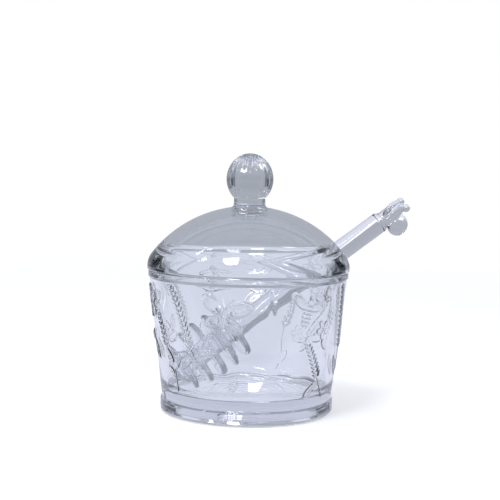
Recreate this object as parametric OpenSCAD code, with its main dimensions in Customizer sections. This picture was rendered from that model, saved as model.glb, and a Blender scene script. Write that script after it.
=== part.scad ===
// Honey pot in pressed clear glass: a tapered jar, a domed lid that lifts off, and a dipper.
// Millimetres, +Z up. The origin is the centre of the jar's foot, on the table.
// The dipper leans out on the +X side, through a notch in the lid's edge.

/* [Jar] */
// Height from the table to the face that the lid sits on
jar_h = 70; // [60:1:80]
// Diameter of the band round the rim
rim_d = 100; // [94:1:108]
// Diameter of the band round the foot
foot_d = 86.5; // [80:0.5:92]
// Height of the foot band
foot_band_h = 7; // [4:0.5:10]
// Height of the rim band
rim_band_h = 3.5; // [2.5:0.5:6]
// How far both bands stand out from the wall
band_step = 0.7; // [0.3:0.1:1.2]
// Rounding of the rim band's upper edge
rim_edge_r = 0.8; // [0.4:0.1:1.2]
// Rounding under the foot
foot_edge_r = 1.6; // [0.8:0.2:2.4]
// Thickness of the side wall
wall_t = 3.5; // [2.5:0.25:5]
// Thickness of the glass under the honey
floor_t = 11; // [8:0.5:14]
// Radius of the corner between floor and wall, inside
floor_corner_r = 6; // [3:0.5:8]
// Depth of the hollow under the foot
recess_h = 1.6; // [0.8:0.2:3]
// Width of the flat ring that the jar stands on
foot_ring_w = 4; // [3:0.5:8]

/* [Relief] */
// How far kernels, bodies and heads stand out from the jar's wall
relief_h = 1; // [0.6:0.1:1.3]
// How far wings, petals and leaves stand out from it
web_h = 0.6; // [0.3:0.1:1]
// Length of a kernel in an ear of grain
kernel_len = 4.4; // [3:0.2:5]
// Width of a kernel
kernel_w = 1.7; // [1:0.1:2]
// Angle between a kernel and the ear's stem
kernel_lean = 30; // [20:2:45]

/* [Lid] */
// Height of the crown above the lid's seat
dome_h = 31.8; // [27:0.2:37]
// How far the lid's edge reaches past the rim
lid_overhang = 0.5; // [0:0.25:2]
// Height of the upright edge under the shoulder
lid_edge_h = 1.8; // [1:0.2:4]
// Radius of the shoulder between edge and crown
shoulder_r = 10; // [6:0.5:13]
// Thickness of the glass at the crown
lid_t = 4; // [3:0.25:5.5]
// Radius of the corner under the shoulder, inside
inner_shoulder_r = 8; // [5:0.5:11]
// How far the locating ring hangs into the jar
ring_h = 4; // [2.5:0.5:6]
// Thickness of the locating ring
ring_t = 2.8; // [2:0.2:4]

/* [Knob] */
// Largest diameter of the ball
knob_d = 23.5; // [20:0.5:28]
// Height of the ball
knob_h = 22.2; // [18:0.2:27]
// Diameter of the neck under the ball
neck_d = 15.7; // [13:0.1:18]
// Height of the neck above the crown
neck_h = 4; // [3:0.5:7]
// Radius of the fillet between neck and crown
neck_fillet_r = 1.8; // [1:0.2:2.6]
// Number of flutes round the ball
flutes = 24; // [16:2:32]
// Depth of a flute where the ball is widest
flute_depth = 0.9; // [0.4:0.1:1.3]

/* [Dipper] */
// Diameter of the handle and of the core between the discs
handle_d = 10.8; // [9:0.2:12]
// Length of the handle above the top disc
handle_len = 96.5; // [85:0.5:115]
// Diameter of the lowest disc, which stands on the floor
low_disc_d = 26; // [22:0.5:29]
// Diameter of the widest disc, in the middle of the head
mid_disc_d = 30.5; // [26:0.5:33]
// Diameter of the top disc
top_disc_d = 28; // [24:0.5:30]
// Number of discs
discs = 5; // [3:1:6]
// Distance from one disc to the next
disc_pitch = 7.5; // [6.5:0.25:9]
// Thickness of a disc
disc_t = 2.8; // [2:0.2:3.6]
// Diameter of the rounded tip where it leaves the lowest disc
tip_d = 17; // [13:0.5:20]
// How far the rounded tip stands out under the lowest disc
tip_h = 4.5; // [3:0.5:5.5]

/* [Bee] */
// Diameter of the collar between handle and bee
collar_d = 9; // [7.6:0.2:10.4]
// Length of the collar
collar_len = 1.8; // [1:0.2:3]
// Diameter of the bee's body
bee_d = 8.6; // [7:0.2:10]
// Length of the bee's body
bee_len = 14; // [12:0.5:17]
// Diameter of a wing
wing_d = 12; // [10:0.2:14]
// Thickness of a wing
wing_t = 3.2; // [2.2:0.2:4]
// Distance from the body's axis to the nearest point of a wing
wing_root = 0.6; // [0.4:0.1:1.5]
// Angle between the two wings
wing_spread = 125; // [90:5:160]
// Diameter of each of the two round eyes at the end
eye_d = 4.2; // [3.4:0.2:5]
// Distance between the middles of the eyes
eye_gap = 4.6; // [3.6:0.2:5.4]

/* [Fits] */
// Free height between the rim and the lid's edge
seat_gap = 0.2; // [0.1:0.05:0.4]
// Free width between the locating ring and the jar
ring_gap = 0.8; // [0.5:0.1:1.5]
// Free space between the dipper and what it leans on
rest_gap = 0.3; // [0.2:0.05:0.6]
// Free width round the handle in the lid's notch
notch_gap = 1.3; // [0.8:0.1:2]
// Direction in which the dipper leans, turned from +X towards +Y
dipper_turn = 18; // [0:1:40]

/* [Hidden] */
$fn = 96;
glass_tint = [0.80, 0.84, 0.90, 0.55];
dipper_tint = [0.72, 0.77, 0.86, 0.60];
arc_steps = 12;
corner_steps = 6;
// Cutting shapes run this far past what they cut, and joined ones this far into each other
past = 1.5;

// Points of an elliptical arc in a section plane, from angle a to angle b
function oval(centre, r_out, r_up, a, b, steps) =
    [for (i = [0:steps]) let (t = a + (b - a) * i / steps) centre + [r_out * cos(t), r_up * sin(t)]];
function arc(centre, r, a, b, steps) = oval(centre, r, r, a, b, steps);

module revolve(section) {
    rotate_extrude() polygon(section);
}

// The jar. Its wall tapers, so the radius of the bare wall and of the bore follow the height z.
foot_r = foot_d / 2;
rim_r = rim_d / 2;
wall_low_r = foot_r - band_step;
wall_high_r = rim_r - band_step;
wall_high_z = jar_h - rim_band_h;
wall_slope = (wall_high_r - wall_low_r) / (wall_high_z - foot_band_h);
function wall_r(z) = wall_low_r + (z - foot_band_h) * wall_slope;
function bore_r(z) = wall_r(z) - wall_t;

taper = atan(wall_slope);
floor_corner_z = floor_t + floor_corner_r;
floor_corner_out = bore_r(floor_corner_z) - floor_corner_r / cos(taper);
foot_flat_r = foot_r - foot_edge_r - foot_ring_w;

jar_section = concat(
    [[0, recess_h], [foot_flat_r - recess_h, recess_h], [foot_flat_r, 0]],
    arc([foot_r - foot_edge_r, foot_edge_r], foot_edge_r, -90, 0, corner_steps),
    [[foot_r, foot_band_h - band_step], [wall_low_r, foot_band_h]],
    [[wall_high_r, wall_high_z], [rim_r, wall_high_z + band_step]],
    arc([rim_r - rim_edge_r, jar_h - rim_edge_r], rim_edge_r, 0, 90, corner_steps),
    [[bore_r(jar_h), jar_h]],
    arc([floor_corner_out, floor_corner_z], floor_corner_r, -taper, -90, corner_steps),
    [[0, floor_t]]
);

// The raised figures. A form is an oval with pointed ends, or a disc where it is as long as it is
// wide: [turn, share, length, width, tilt, height]. The turn runs round the wall from the front
// towards +X, the share runs up the bare wall from band to band, and height is LOW or HIGH.
LOW = 0;
HIGH = 1;
heights = [web_h, relief_h];
wall_mid_r = (wall_low_r + wall_high_r) / 2;
wall_up = wall_high_z - foot_band_h;
turn_per_mm = 180 / (PI * wall_mid_r);

// From a place on the unrolled wall, as [turn, share], to millimetres and back
function flat(place) = [place[0] / turn_per_mm, place[1] * wall_up];
function wall_place(p) = [p[0] * turn_per_mm, p[1] / wall_up];
function spun(p, tilt) = [p[0] * cos(tilt) - p[1] * sin(tilt), p[0] * sin(tilt) + p[1] * cos(tilt)];

// One form of a figure: its middle lies at p in the figure's own drawing, which is tilted
function form(place, tilt, p, length, width, turned, height) =
    let (at = wall_place(flat(place) + spun(p, tilt)))
    [at[0], at[1], length, width, tilt + turned, height];

// A form from one place on the wall to another
function bar(from, to, width, height) =
    let (a = flat(from), b = flat(to), mid = wall_place((a + b) / 2))
    [mid[0], mid[1], norm(b - a), width, atan2(b[1] - a[1], b[0] - a[0]), height];

function kernel(p, heading, size) =
    let (mid = wall_place(p + kernel_len * size / 2 * [cos(heading), sin(heading)]))
    [mid[0], mid[1], kernel_len * size, kernel_w * size, heading, HIGH];

// An ear of grain on a stalk. Pairs of kernels follow a bow, and the last one is the tip.
ear_pairs = 4;
ear_slimmer = 0.3;
stalk_w = 1;
function ear(root, foot, bow, top) =
    let (a = flat(foot), b = flat(bow), c = flat(top))
    concat(
        [bar(root, foot, stalk_w, LOW), bar(foot, top, stalk_w, LOW)],
        [for (i = [0:ear_pairs])
            let (
                t = i / ear_pairs,
                p = (1 - t) * (1 - t) * a + 2 * t * (1 - t) * b + t * t * c,
                way = (1 - t) * (b - a) + t * (c - b),
                heading = atan2(way[1], way[0]),
                size = 1 - ear_slimmer * t
            )
            each i == ear_pairs ? [kernel(p, heading, size)]
                : [kernel(p, heading - kernel_lean, size), kernel(p, heading + kernel_lean, size)]]
    );

function butterfly(place, tilt, size) = concat(
    [for (side = [-1, 1]) each [
        form(place, tilt, size * [0.58 * side, 0.42], size * 1.04, size * 0.6, 34 * side, LOW),
        form(place, tilt, size * [0.42 * side, -0.30], size * 0.72, size * 0.48, -30 * side, LOW)
    ]],
    [form(place, tilt, size * [0, -0.05], size * 0.85, size * 0.14, 90, HIGH)]
);

function dragonfly(place, tilt, size) = concat(
    [for (side = [-1, 1]) each [
        form(place, tilt, size * [0.48 * side, 0.24], size * 0.92, size * 0.28, 22 * side, LOW),
        form(place, tilt, size * [0.44 * side, -0.06], size * 0.84, size * 0.26, -12 * side, LOW)
    ]],
    [form(place, tilt, size * [0, -0.22], size * 1.3, size * 0.15, 90, HIGH)]
);

function honeybee(place, tilt, size) = concat(
    [for (side = [-1, 1])
        form(place, tilt, size * [0.46 * side, 0.34], size * 0.88, size * 0.38, 32 * side, LOW)],
    [form(place, tilt, size * [0, -0.18], size * 0.95, size * 0.42, 90, HIGH),
     form(place, tilt, size * [0, 0.36], size * 0.34, size * 0.34, 0, HIGH)]
);

petals = 5;
function blossom(place, tilt, size) = concat(
    [for (i = [0:petals - 1])
        let (a = 90 + 360 * i / petals)
        form(place, tilt, size * 0.56 * [cos(a), sin(a)], size * 0.88, size * 0.6, a, LOW)],
    [form(place, tilt, [0, 0], size * 0.44, size * 0.44, 0, HIGH)]
);

forms = concat(
    // The front
    ear([-33, 0.29], [-36, 0.49], [-40, 0.76], [-48, 0.96]),
    ear([-50, 0.28], [-57, 0.47], [-60, 0.59], [-64.5, 0.71]),
    [bar([-50, 0.29], [-44, 0.44], 4.2, LOW), bar([-50.5, 0.30], [-57, 0.45], 4.2, LOW)],
    [bar([-50, 0.22], [-56, 0.31], 3.4, LOW), bar([-48.5, 0.12], [-50, 0.29], stalk_w, LOW)],
    blossom([-77, 0.81], 14, 9),
    [bar([-92, 0.51], [-84, 0.51], 6.4, HIGH), bar([-80, 0.49], [-70, 0.35], 5, LOW)],
    butterfly([-13, 0.76], -12, 11.5),
    dragonfly([-33, 0.42], 28, 13.5),
    honeybee([36, 0.79], -14, 12.5),
    butterfly([49, 0.89], 30, 5.5),
    blossom([30, 0.63], 10, 4.2),
    blossom([50, 0.64], 30, 5),
    [bar([41, 0.60], [36, 0.53], 4, LOW), bar([50, 0.56], [55, 0.47], 3.6, LOW)],
    ear([56, 0.08], [49.5, 0.24], [44, 0.40], [38, 0.53]),
    [bar([38, 0.09], [49, 0.20], 4.6, LOW), bar([76, 0.22], [69, 0.39], 4.4, LOW)],
    ear([82, 0.25], [80, 0.44], [74, 0.69], [70, 0.94]),
    // The far side
    ear([104, 0.07], [102, 0.25], [99, 0.52], [104, 0.76]),
    blossom([100, 0.94], 0, 3.6),
    butterfly([123, 0.77], 10, 11),
    dragonfly([128, 0.39], -30, 13),
    ear([158, 0.09], [152, 0.49], [149, 0.72], [143, 0.94]),
    [bar([158, 0.15], [150, 0.29], 4.4, LOW), bar([176, 0.59], [184, 0.45], 4.6, LOW)],
    blossom([172, 0.76], 20, 7.5),
    ear([186, 0.06], [188, 0.15], [194, 0.35], [191, 0.59]),
    honeybee([206, 0.79], 14, 12),
    blossom([214, 0.44], 0, 5.5),
    [bar([209, 0.29], [202, 0.17], 4.2, LOW)],
    ear([222, 0.09], [228, 0.46], [231, 0.69], [238, 0.92]),
    butterfly([252, 0.46], -16, 10.5),
    [bar([246, 0.79], [254, 0.93], 4.4, LOW)]
);

// A form as a flat-topped prism. It is sunk into the wall, and its top lies along the wall's slope.
sunk = 1.5;
module prism(form) {
    length = form[2];
    width = form[3];
    r = (length * length + width * width) / (4 * width);
    depth = sunk + heights[form[5]];
    z = foot_band_h + form[1] * wall_up;
    rotate([0, 0, form[0]])
        translate([0, -wall_r(z), z])
            rotate([90 + taper, 0, 0])
                rotate([0, 0, form[4]])
                    translate([0, 0, -sunk])
                        if (length == width) {
                            cylinder(r = r, h = depth);
                        } else intersection() {
                            translate([0, r - width / 2, 0]) cylinder(r = r, h = depth);
                            translate([0, width / 2 - r, 0]) cylinder(r = r, h = depth);
                        }
}

module jar() {
    color(glass_tint) {
        revolve(jar_section);
        for (form = forms) prism(form);
    }
}

// The dipper leans in one upright plane, where a point is [out, up]. along() runs up the
// handle and across() points from the axis to the lowest point of a disc.
function along(lean) = [cos(lean), sin(lean)];
function across(lean) = [sin(lean), -cos(lean)];

handle_r = handle_d / 2;
low_disc_r = low_disc_d / 2;
mid_disc_r = mid_disc_d / 2;
top_disc_r = top_disc_d / 2;
top_disc_up = (discs - 1) * disc_pitch;
handle_end_up = top_disc_up + handle_len;

// Middle of the lowest disc, when that disc stands on the floor and the handle on the rim
function head_up(lean) = floor_t + rest_gap + low_disc_r * cos(lean) + disc_t / 2 * sin(lean);
function head_out(lean) =
    bore_r(jar_h) - (handle_r + rest_gap - (head_up(lean) - jar_h) * cos(lean)) / sin(lean);
function head_at(lean) = [head_out(lean), head_up(lean)];

// Free width between the far wall and the lowest disc's upper corner
function far_corner(lean) = head_at(lean) - low_disc_r * across(lean) - disc_t / 2 * along(lean);
function far_gap(lean) = bore_r(far_corner(lean)[1]) + far_corner(lean)[0];

// The dipper slides down until its head stops in the far corner of the jar. A steeper dipper
// stands further from that corner, so halving the interval finds its lean.
far_wall_gap = 0.5;
function find_lean(low, high, turns) =
    let (mid = (low + high) / 2)
    turns == 0 ? mid
    : far_gap(mid) < far_wall_gap ? find_lean(mid, high, turns - 1)
    : find_lean(low, mid, turns - 1);
lean = find_lean(15, 75, 30);
head = head_at(lean);

// Carries what stands on the lowest disc's middle, pointing up, to where the dipper leans
module leaning() {
    rotate([0, 0, dipper_turn])
        translate([head[0], 0, head[1]])
            rotate([0, 90 - lean, 0])
                children();
}

// Radius of disc i: the head is widest in its middle disc and narrows to both ends
function disc_r(i) =
    let (share = i / (discs - 1), bulge = 4 * share * (1 - share))
    low_disc_r + (top_disc_r - low_disc_r) * share
        + (mid_disc_r - (low_disc_r + top_disc_r) / 2) * bulge;

function disc_outline(i) =
    let (up = i * disc_pitch, rim = disc_r(i) - disc_t / 2)
    concat(
        i == 0 ? [] : [[handle_r, up - disc_t / 2]],
        arc([rim, up], disc_t / 2, -90, 90, corner_steps),
        [[handle_r, up + disc_t / 2]]
    );

// The tip is a cap of a sphere under the lowest disc
tip_r = tip_d / 2;
tip_ball_r = (tip_r * tip_r + tip_h * tip_h) / (2 * tip_h);
tip_ball_up = tip_ball_r - tip_h - disc_t / 2;
tip_angle = asin(tip_r / tip_ball_r);

handle_edge = 0.8;
bee_up = handle_end_up + collar_len;
bee_low_angle = -acos(min(1, (collar_d - 1) / bee_d));
bee_half = bee_len / (1 - sin(bee_low_angle));
bee_mid_up = bee_up + bee_len - bee_half;
wing_up = bee_up + wing_d / 2 - 0.5;
eyes_up = bee_up + bee_len - 0.2;
// Directions round the handle, turned from the disc's lowest point away from the viewer
low_wing_turn = 0;
eyes_turn = -30;
// The lathe-turned body starts its turn here, on the side away from both wings
body_turn = 90;

dipper_section = concat(
    arc([0, tip_ball_up], tip_ball_r, -90, tip_angle - 90, corner_steps),
    [for (i = [0:discs - 1]) each disc_outline(i)],
    [[handle_r, handle_end_up - handle_edge], [handle_r - handle_edge, handle_end_up]],
    [[collar_d / 2, handle_end_up], [collar_d / 2, bee_up]],
    oval([0, bee_mid_up], bee_d / 2, bee_half, bee_low_angle, 90, arc_steps)
);

// A round wing with a rounded edge, flat in the plane of the handle's axis
module wing(turn) {
    rotate([0, 0, turn])
        translate([wing_root + wing_d / 2, 0, wing_up])
            rotate([90, 0, 0])
                revolve(concat(
                    [[0, -wing_t / 2]],
                    arc([(wing_d - wing_t) / 2, 0], wing_t / 2, -90, 90, corner_steps),
                    [[0, wing_t / 2]]
                ));
}

module eyes() {
    rotate([0, 0, eyes_turn])
        for (side = [-1, 1])
            translate([side * eye_gap / 2, 0, eyes_up])
                sphere(d = eye_d);
}

module dipper() {
    color(dipper_tint) leaning() {
        rotate([0, 0, body_turn]) revolve(dipper_section);
        wing(low_wing_turn);
        wing(low_wing_turn - wing_spread);
        eyes();
    }
}

// The lid. Edge, shoulder and crown are one smooth line, so the crown's radius follows.
seat_z = jar_h + seat_gap;
lid_r = rim_r + lid_overhang;
lid_edge = 0.7;
crown_z = seat_z + dome_h;
shoulder_at = [lid_r - shoulder_r, seat_z + lid_edge_h];
crown_rise = dome_h - lid_edge_h;
crown_r = (pow(shoulder_at[0], 2) + pow(crown_rise, 2) - pow(shoulder_r, 2))
    / (2 * (crown_rise - shoulder_r));
crown_at = [0, crown_z - crown_r];
shoulder_angle = atan2(shoulder_at[1] - crown_at[1], shoulder_at[0]);

ring_low_z = seat_z - ring_h;
ring_outer_r = bore_r(jar_h - ring_h) - ring_gap;
ring_inner_r = ring_outer_r - ring_t;
ring_edge = 0.6;
ceiling_r = crown_r - lid_t;
inner_shoulder_out = ring_inner_r - inner_shoulder_r;
inner_shoulder_rise = sqrt(pow(ceiling_r - inner_shoulder_r, 2) - pow(inner_shoulder_out, 2));
inner_shoulder_at = crown_at + [inner_shoulder_out, inner_shoulder_rise];
inner_shoulder_angle = atan2(inner_shoulder_rise, inner_shoulder_out);

neck_r = neck_d / 2;
neck_top_z = crown_z + neck_h;
fillet_out = neck_r + neck_fillet_r;
fillet_rise = sqrt(pow(crown_r + neck_fillet_r, 2) - pow(fillet_out, 2));
fillet_at = crown_at + [fillet_out, fillet_rise];
fillet_angle = atan2(fillet_rise, fillet_out);

lid_section = concat(
    arc(crown_at, ceiling_r, 90, inner_shoulder_angle, arc_steps),
    arc(inner_shoulder_at, inner_shoulder_r, inner_shoulder_angle, 0, corner_steps),
    [[ring_inner_r, ring_low_z + ring_edge], [ring_inner_r + ring_edge, ring_low_z]],
    [[ring_outer_r - ring_edge, ring_low_z], [ring_outer_r, ring_low_z + ring_edge]],
    [[ring_outer_r, seat_z], [lid_r - lid_edge, seat_z], [lid_r, seat_z + lid_edge]],
    arc(shoulder_at, shoulder_r, 0, shoulder_angle, corner_steps),
    arc(crown_at, crown_r, shoulder_angle, fillet_angle, arc_steps),
    arc(fillet_at, neck_fillet_r, fillet_angle - 180, -180, corner_steps),
    [[neck_r, neck_top_z + past], [0, neck_top_z + past]]
);

// The notch follows the handle and is open below it, so that the lid lifts straight up
notch_r = handle_r + notch_gap;
notch_low_z = ring_low_z - past;
notch_start = [head[0] + (notch_low_z - head[1]) / tan(lean), notch_low_z];
notch_reach = (lid_r + notch_r + past - notch_start[0]) / cos(lean);
notch_end = notch_start + notch_reach * along(lean);
notch_start_up = (notch_start[0] - head[0]) / cos(lean);

module notch() {
    leaning() translate([0, 0, notch_start_up]) cylinder(r = notch_r, h = notch_reach);
    rotate([0, 0, dipper_turn])
        translate([0, notch_r, 0])
            rotate([90, 0, 0])
                linear_extrude(2 * notch_r)
                    polygon([notch_start, [notch_end[0], notch_low_z], notch_end]);
}

// The knob is an oval ball with upright flutes, which fade out where it meets the neck
pinch_angle = acos(neck_d / knob_d);
knob_half = knob_h / (1 + sin(pinch_angle));
knob_mid_z = neck_top_z + knob_half * sin(pinch_angle);
knob_low_angle = -pinch_angle - 12;
flute_fade_angle = 45;
knob_rings = 13;
points_per_flute = 2;
knob_sides = flutes * points_per_flute;

function knob_point(ring, side) =
    let (
        up = knob_low_angle + (90 - knob_low_angle) * ring / knob_rings,
        fade = max(0, min(1, (up + pinch_angle) / flute_fade_angle)),
        groove = flute_depth * fade * (side % points_per_flute),
        out = (knob_d / 2 - groove) * cos(up),
        turn = 360 * side / knob_sides
    )
    [out * cos(turn), out * sin(turn), knob_mid_z + knob_half * sin(up)];

module knob() {
    points = concat(
        [for (ring = [0:knob_rings - 1], side = [0:knob_sides - 1]) knob_point(ring, side)],
        [knob_point(knob_rings, 0)]
    );
    top = knob_rings * knob_sides;
    last = top - knob_sides;
    faces = concat(
        [[for (side = [0:knob_sides - 1]) side]],
        [for (ring = [0:knob_rings - 2], side = [0:knob_sides - 1])
            let (a = ring * knob_sides + side, b = ring * knob_sides + (side + 1) % knob_sides)
            each [[a, a + knob_sides, b], [b, a + knob_sides, b + knob_sides]]],
        [for (side = [0:knob_sides - 1]) [last + side, top, last + (side + 1) % knob_sides]]
    );
    polyhedron(points, faces);
}

module lid() {
    color(glass_tint) {
        difference() {
            revolve(lid_section);
            notch();
        }
        knob();
    }
}

jar();
lid();
dipper();
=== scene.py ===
# %% [markdown]
# # A pressed-glass honey pot with a loose lid and a dipper
# The pot is three pieces of clear glass: a jar with raised ears of grain, insects and blossoms on its
# wall, a domed lid with a ribbed ball knob, and a dipper whose handle comes out through a notch in the
# lid. Each piece is one closed mesh, because light bends wherever it meets a surface: two glass meshes
# that touch or overlap would show a false skin between them.
#
# The imported CAD model is loaded first. It fixes the place and the size of everything.

# %% Load the frame
import math

import bmesh
import bpy
import numpy as np
from mathutils import Matrix, Vector


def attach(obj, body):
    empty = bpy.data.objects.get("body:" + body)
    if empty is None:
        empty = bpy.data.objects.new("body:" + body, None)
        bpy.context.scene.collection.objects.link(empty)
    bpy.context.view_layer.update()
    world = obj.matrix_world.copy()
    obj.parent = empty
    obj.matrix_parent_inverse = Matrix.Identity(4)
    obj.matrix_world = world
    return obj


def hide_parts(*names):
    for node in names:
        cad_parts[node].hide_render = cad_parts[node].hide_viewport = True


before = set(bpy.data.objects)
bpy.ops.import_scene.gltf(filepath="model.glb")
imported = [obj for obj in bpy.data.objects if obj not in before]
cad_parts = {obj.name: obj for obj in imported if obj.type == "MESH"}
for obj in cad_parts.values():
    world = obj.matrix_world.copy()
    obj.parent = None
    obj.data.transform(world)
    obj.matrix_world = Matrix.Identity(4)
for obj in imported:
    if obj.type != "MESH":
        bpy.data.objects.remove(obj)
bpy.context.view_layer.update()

# %% [markdown]
# ## Camera
# The photograph is taken from the height of the knob, from half a metre away, with a long lens.
# The camera stands where the base, the rim and the knob fall on the same places of the picture. It
# leans by one degree, as the photographer's did, and aims a little beside the knob, so no shift is used.

# %% Camera
LENS_PX = 1104.0
PICTURE_PX = 500.0
SENSOR_MM = 36.0
CLIP_START = 0.01
camera_at = Vector((0.0, -0.551, 0.122))
camera_aim = Vector((0.0006, 0.0, 0.080))
camera_lean = math.radians(0.98)


def new_object(name, data):
    """An object that is in the scene."""
    made = bpy.data.objects.new(name, data)
    bpy.context.scene.collection.objects.link(made)
    return made


def turn_towards(start, end):
    """The turn of a camera or a lamp that looks from start to end."""
    return (end - start).to_track_quat("-Z", "Y").to_matrix().to_4x4()


camera_data = bpy.data.cameras.new("photo_camera")
camera_data.sensor_width = SENSOR_MM
camera_data.lens = LENS_PX / PICTURE_PX * SENSOR_MM
camera_data.clip_start = CLIP_START
camera = new_object("photo_camera", camera_data)
leaning = turn_towards(camera_at, camera_aim) @ Matrix.Rotation(camera_lean, 4, "Z")
camera.matrix_world = Matrix.Translation(camera_at) @ leaning
bpy.context.scene.camera = camera
print("lens in mm:", round(camera_data.lens, 1))

# %% [markdown]
# ## Table and studio
# Glass has hardly any colour of its own: what it shows is the room around it. So the room matters as
# much as the glass, and here it is an even grey studio, darker on the photographer's side. A light card
# stands close behind the pot: it makes the pot's wall lighter than the dome, and its upper edge is the
# bright line across the lid. Two dark boards at the sides draw the dark lines along the glass's edges.
# Seen from the glass, the table has painted light and shade: a painted pool of light by the pot that
# darkens further off, a patch of painted shade in front, and a patch behind the pot at the right that
# glows brighter than white and gives the handle its white strip. A window overhead and two small ones
# at the left leave the square highlights on the lid, and a tiny lamp behind the pot leaves the glints on
# its floor.
#
# All this is there for the rays that come from glass. Light Path tells them from the camera's own rays,
# which see a white room and a white table with the pot's shadow on it.

# %% Node helpers
def put(tree, kind, inputs=None, **settings):
    """Adds a node. An input is given a value, or another node's output socket to be linked to it."""
    node = tree.nodes.new(kind)
    for key, value in settings.items():
        setattr(node, key, value)
    for key, value in (inputs or {}).items():
        if isinstance(value, bpy.types.NodeSocket):
            tree.links.new(value, node.inputs[key])
        else:
            node.inputs[key].default_value = value
    return node


def calc(tree, operation, a, b=0.0, c=0.0):
    """One sum in a node tree. Returns the output socket."""
    return put(tree, "ShaderNodeMath", {0: a, 1: b, 2: c}, operation=operation).outputs[0]


def ramp(tree, value, low, high, at_low=0.0, at_high=1.0):
    """A smooth change from at_low to at_high, as value goes from low to high."""
    node = put(tree, "ShaderNodeMapRange", {0: value, 1: low, 2: high, 3: at_low, 4: at_high})
    node.interpolation_type = "SMOOTHSTEP"
    return node.outputs[0]


def mixed(tree, share, a, b):
    """Colour a where share is 0, and colour b where it is 1."""
    return put(tree, "ShaderNodeMix", {0: share, 6: a, 7: b}, data_type="RGBA").outputs[2]


def times(tree, value, *factors):
    """The product of two or more values."""
    for factor in factors:
        value = calc(tree, "MULTIPLY", value, factor)
    return value


def xyz(tree, value):
    """The sockets of a vector's three parts."""
    return put(tree, "ShaderNodeSeparateXYZ", {0: value}).outputs


def vector(tree, x=0.0, y=0.0, z=0.0):
    """The socket of a vector made of three parts."""
    return put(tree, "ShaderNodeCombineXYZ", {0: x, 1: y, 2: z}).outputs[0]


def from_texture(tree, kind):
    """The socket of the place that is coloured, in the given kind of coordinates."""
    return put(tree, "ShaderNodeTexCoord").outputs[kind]


# %% Room colours
WALL_GREY = (0.44, 0.465, 0.52, 1)
ROOM_DARK = (0.16, 0.168, 0.185, 1)
CEILING = (0.50, 0.525, 0.58, 1)
WHITE = (1, 1, 1, 1)
DARK_TO_GREY = (-0.80, -0.40)
WALL_TO_CEILING = (0.6, 0.9)

world = bpy.data.worlds.new("studio")
bpy.context.scene.world = world
world.use_nodes = True
sky = world.node_tree
sky.nodes.clear()
towards = xyz(sky, from_texture(sky, "Generated"))
room = mixed(sky, ramp(sky, towards[1], *DARK_TO_GREY), ROOM_DARK, WALL_GREY)
room = mixed(sky, ramp(sky, towards[2], *WALL_TO_CEILING), room, CEILING)
seen = put(sky, "ShaderNodeLightPath").outputs["Is Camera Ray"]
sky_light = put(sky, "ShaderNodeBackground", {0: mixed(sky, seen, room, WHITE), 1: 1.0})
put(sky, "ShaderNodeOutputWorld", {0: sky_light.outputs[0]})
print("world nodes:", len(sky.nodes))

# %% Table
TABLE_BACK, TABLE_FRONT, TABLE_HALF, TABLE_DROP = 1.03, -1.6, 2.2, 0.0002
TABLE_WHITE = (0.93, 0.93, 0.94, 1)
# Painted light: seen from the glass, the table glows lighter in a pool round a spot just behind the pot,
# and darker further off.
TABLE_PAINTED_LIGHT, TABLE_PAINTED_SHADE = (0.77, 0.795, 0.915, 1), (0.47, 0.495, 0.56, 1)
LIGHT_POOL_MIDDLE, LIGHT_POOL_EDGE = (0.0, 0.08, 0.0), (0.17, 0.24)
# Painted shade: a dark patch on the table in front of the pot. Painted light: a patch behind it at the
# right that glows brighter than white.
TABLE_FRONT_PAINTED_SHADE, TABLE_PAINTED_GLOW = (0.05, 0.055, 0.06, 1), (1.4, 1.4, 1.4, 1)
PAINTED_SHADE_ACROSS, PAINTED_SHADE_ALONG = ((-0.30, -0.25), (0.25, 0.30)), ((-0.45, -0.40), (-0.13, -0.095))
PAINTED_GLOW_ACROSS, PAINTED_GLOW_ALONG = ((0.04, 0.05), (0.18, 0.20)), ((0.34, 0.35), (0.56, 0.58))
TABLE_TO_WHITE, TABLE_LIFT = (0.30, 0.85), 0.47


def plain_mesh(name, points, faces=(), edges=()):
    """An object that is no more than its points, edges and faces."""
    mesh = bpy.data.meshes.new(name)
    mesh.from_pydata(points, edges, faces)
    return new_object(name, mesh)


def new_material(name):
    """A material whose node tree is empty, and that tree."""
    material = bpy.data.materials.new(name)
    material.use_nodes = True
    material.node_tree.nodes.clear()
    return material, material.node_tree


def glow(tree, colour, strength=1.0):
    """A shader that gives off a colour, however it is lit."""
    return put(tree, "ShaderNodeEmission", {0: colour, 1: strength}).outputs[0]


def blend(tree, share, a, b):
    """Shader a where share is 0, and shader b where it is 1."""
    return put(tree, "ShaderNodeMixShader", {0: share, 1: a, 2: b}).outputs[0]


def band(tree, value, start, end):
    """1 between two soft edges, and 0 outside them."""
    return times(tree, ramp(tree, value, *start), ramp(tree, value, *end, 1.0, 0.0))


table = plain_mesh("table", [(x, y, -TABLE_DROP) for x, y in (
    (-TABLE_HALF, TABLE_FRONT), (TABLE_HALF, TABLE_FRONT),
    (TABLE_HALF, TABLE_BACK), (-TABLE_HALF, TABLE_BACK))], [(0, 1, 2, 3)])
table_paint, paint = new_material("table_paint")
rays = put(paint, "ShaderNodeLightPath").outputs
from_glass = calc(paint, "MAXIMUM", rays["Is Glossy Ray"], rays["Is Transmission Ray"])
where = from_texture(paint, "Object")
on_table = xyz(paint, where)
off = put(paint, "ShaderNodeVectorMath", {0: where, 1: LIGHT_POOL_MIDDLE}, operation="DISTANCE").outputs["Value"]
# Painted light and shade: the table that the glass sees is a glowing pool of light by the pot, darker away
# from it.
glass_view = mixed(paint, ramp(paint, off, *LIGHT_POOL_EDGE), TABLE_PAINTED_LIGHT, TABLE_PAINTED_SHADE)
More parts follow.
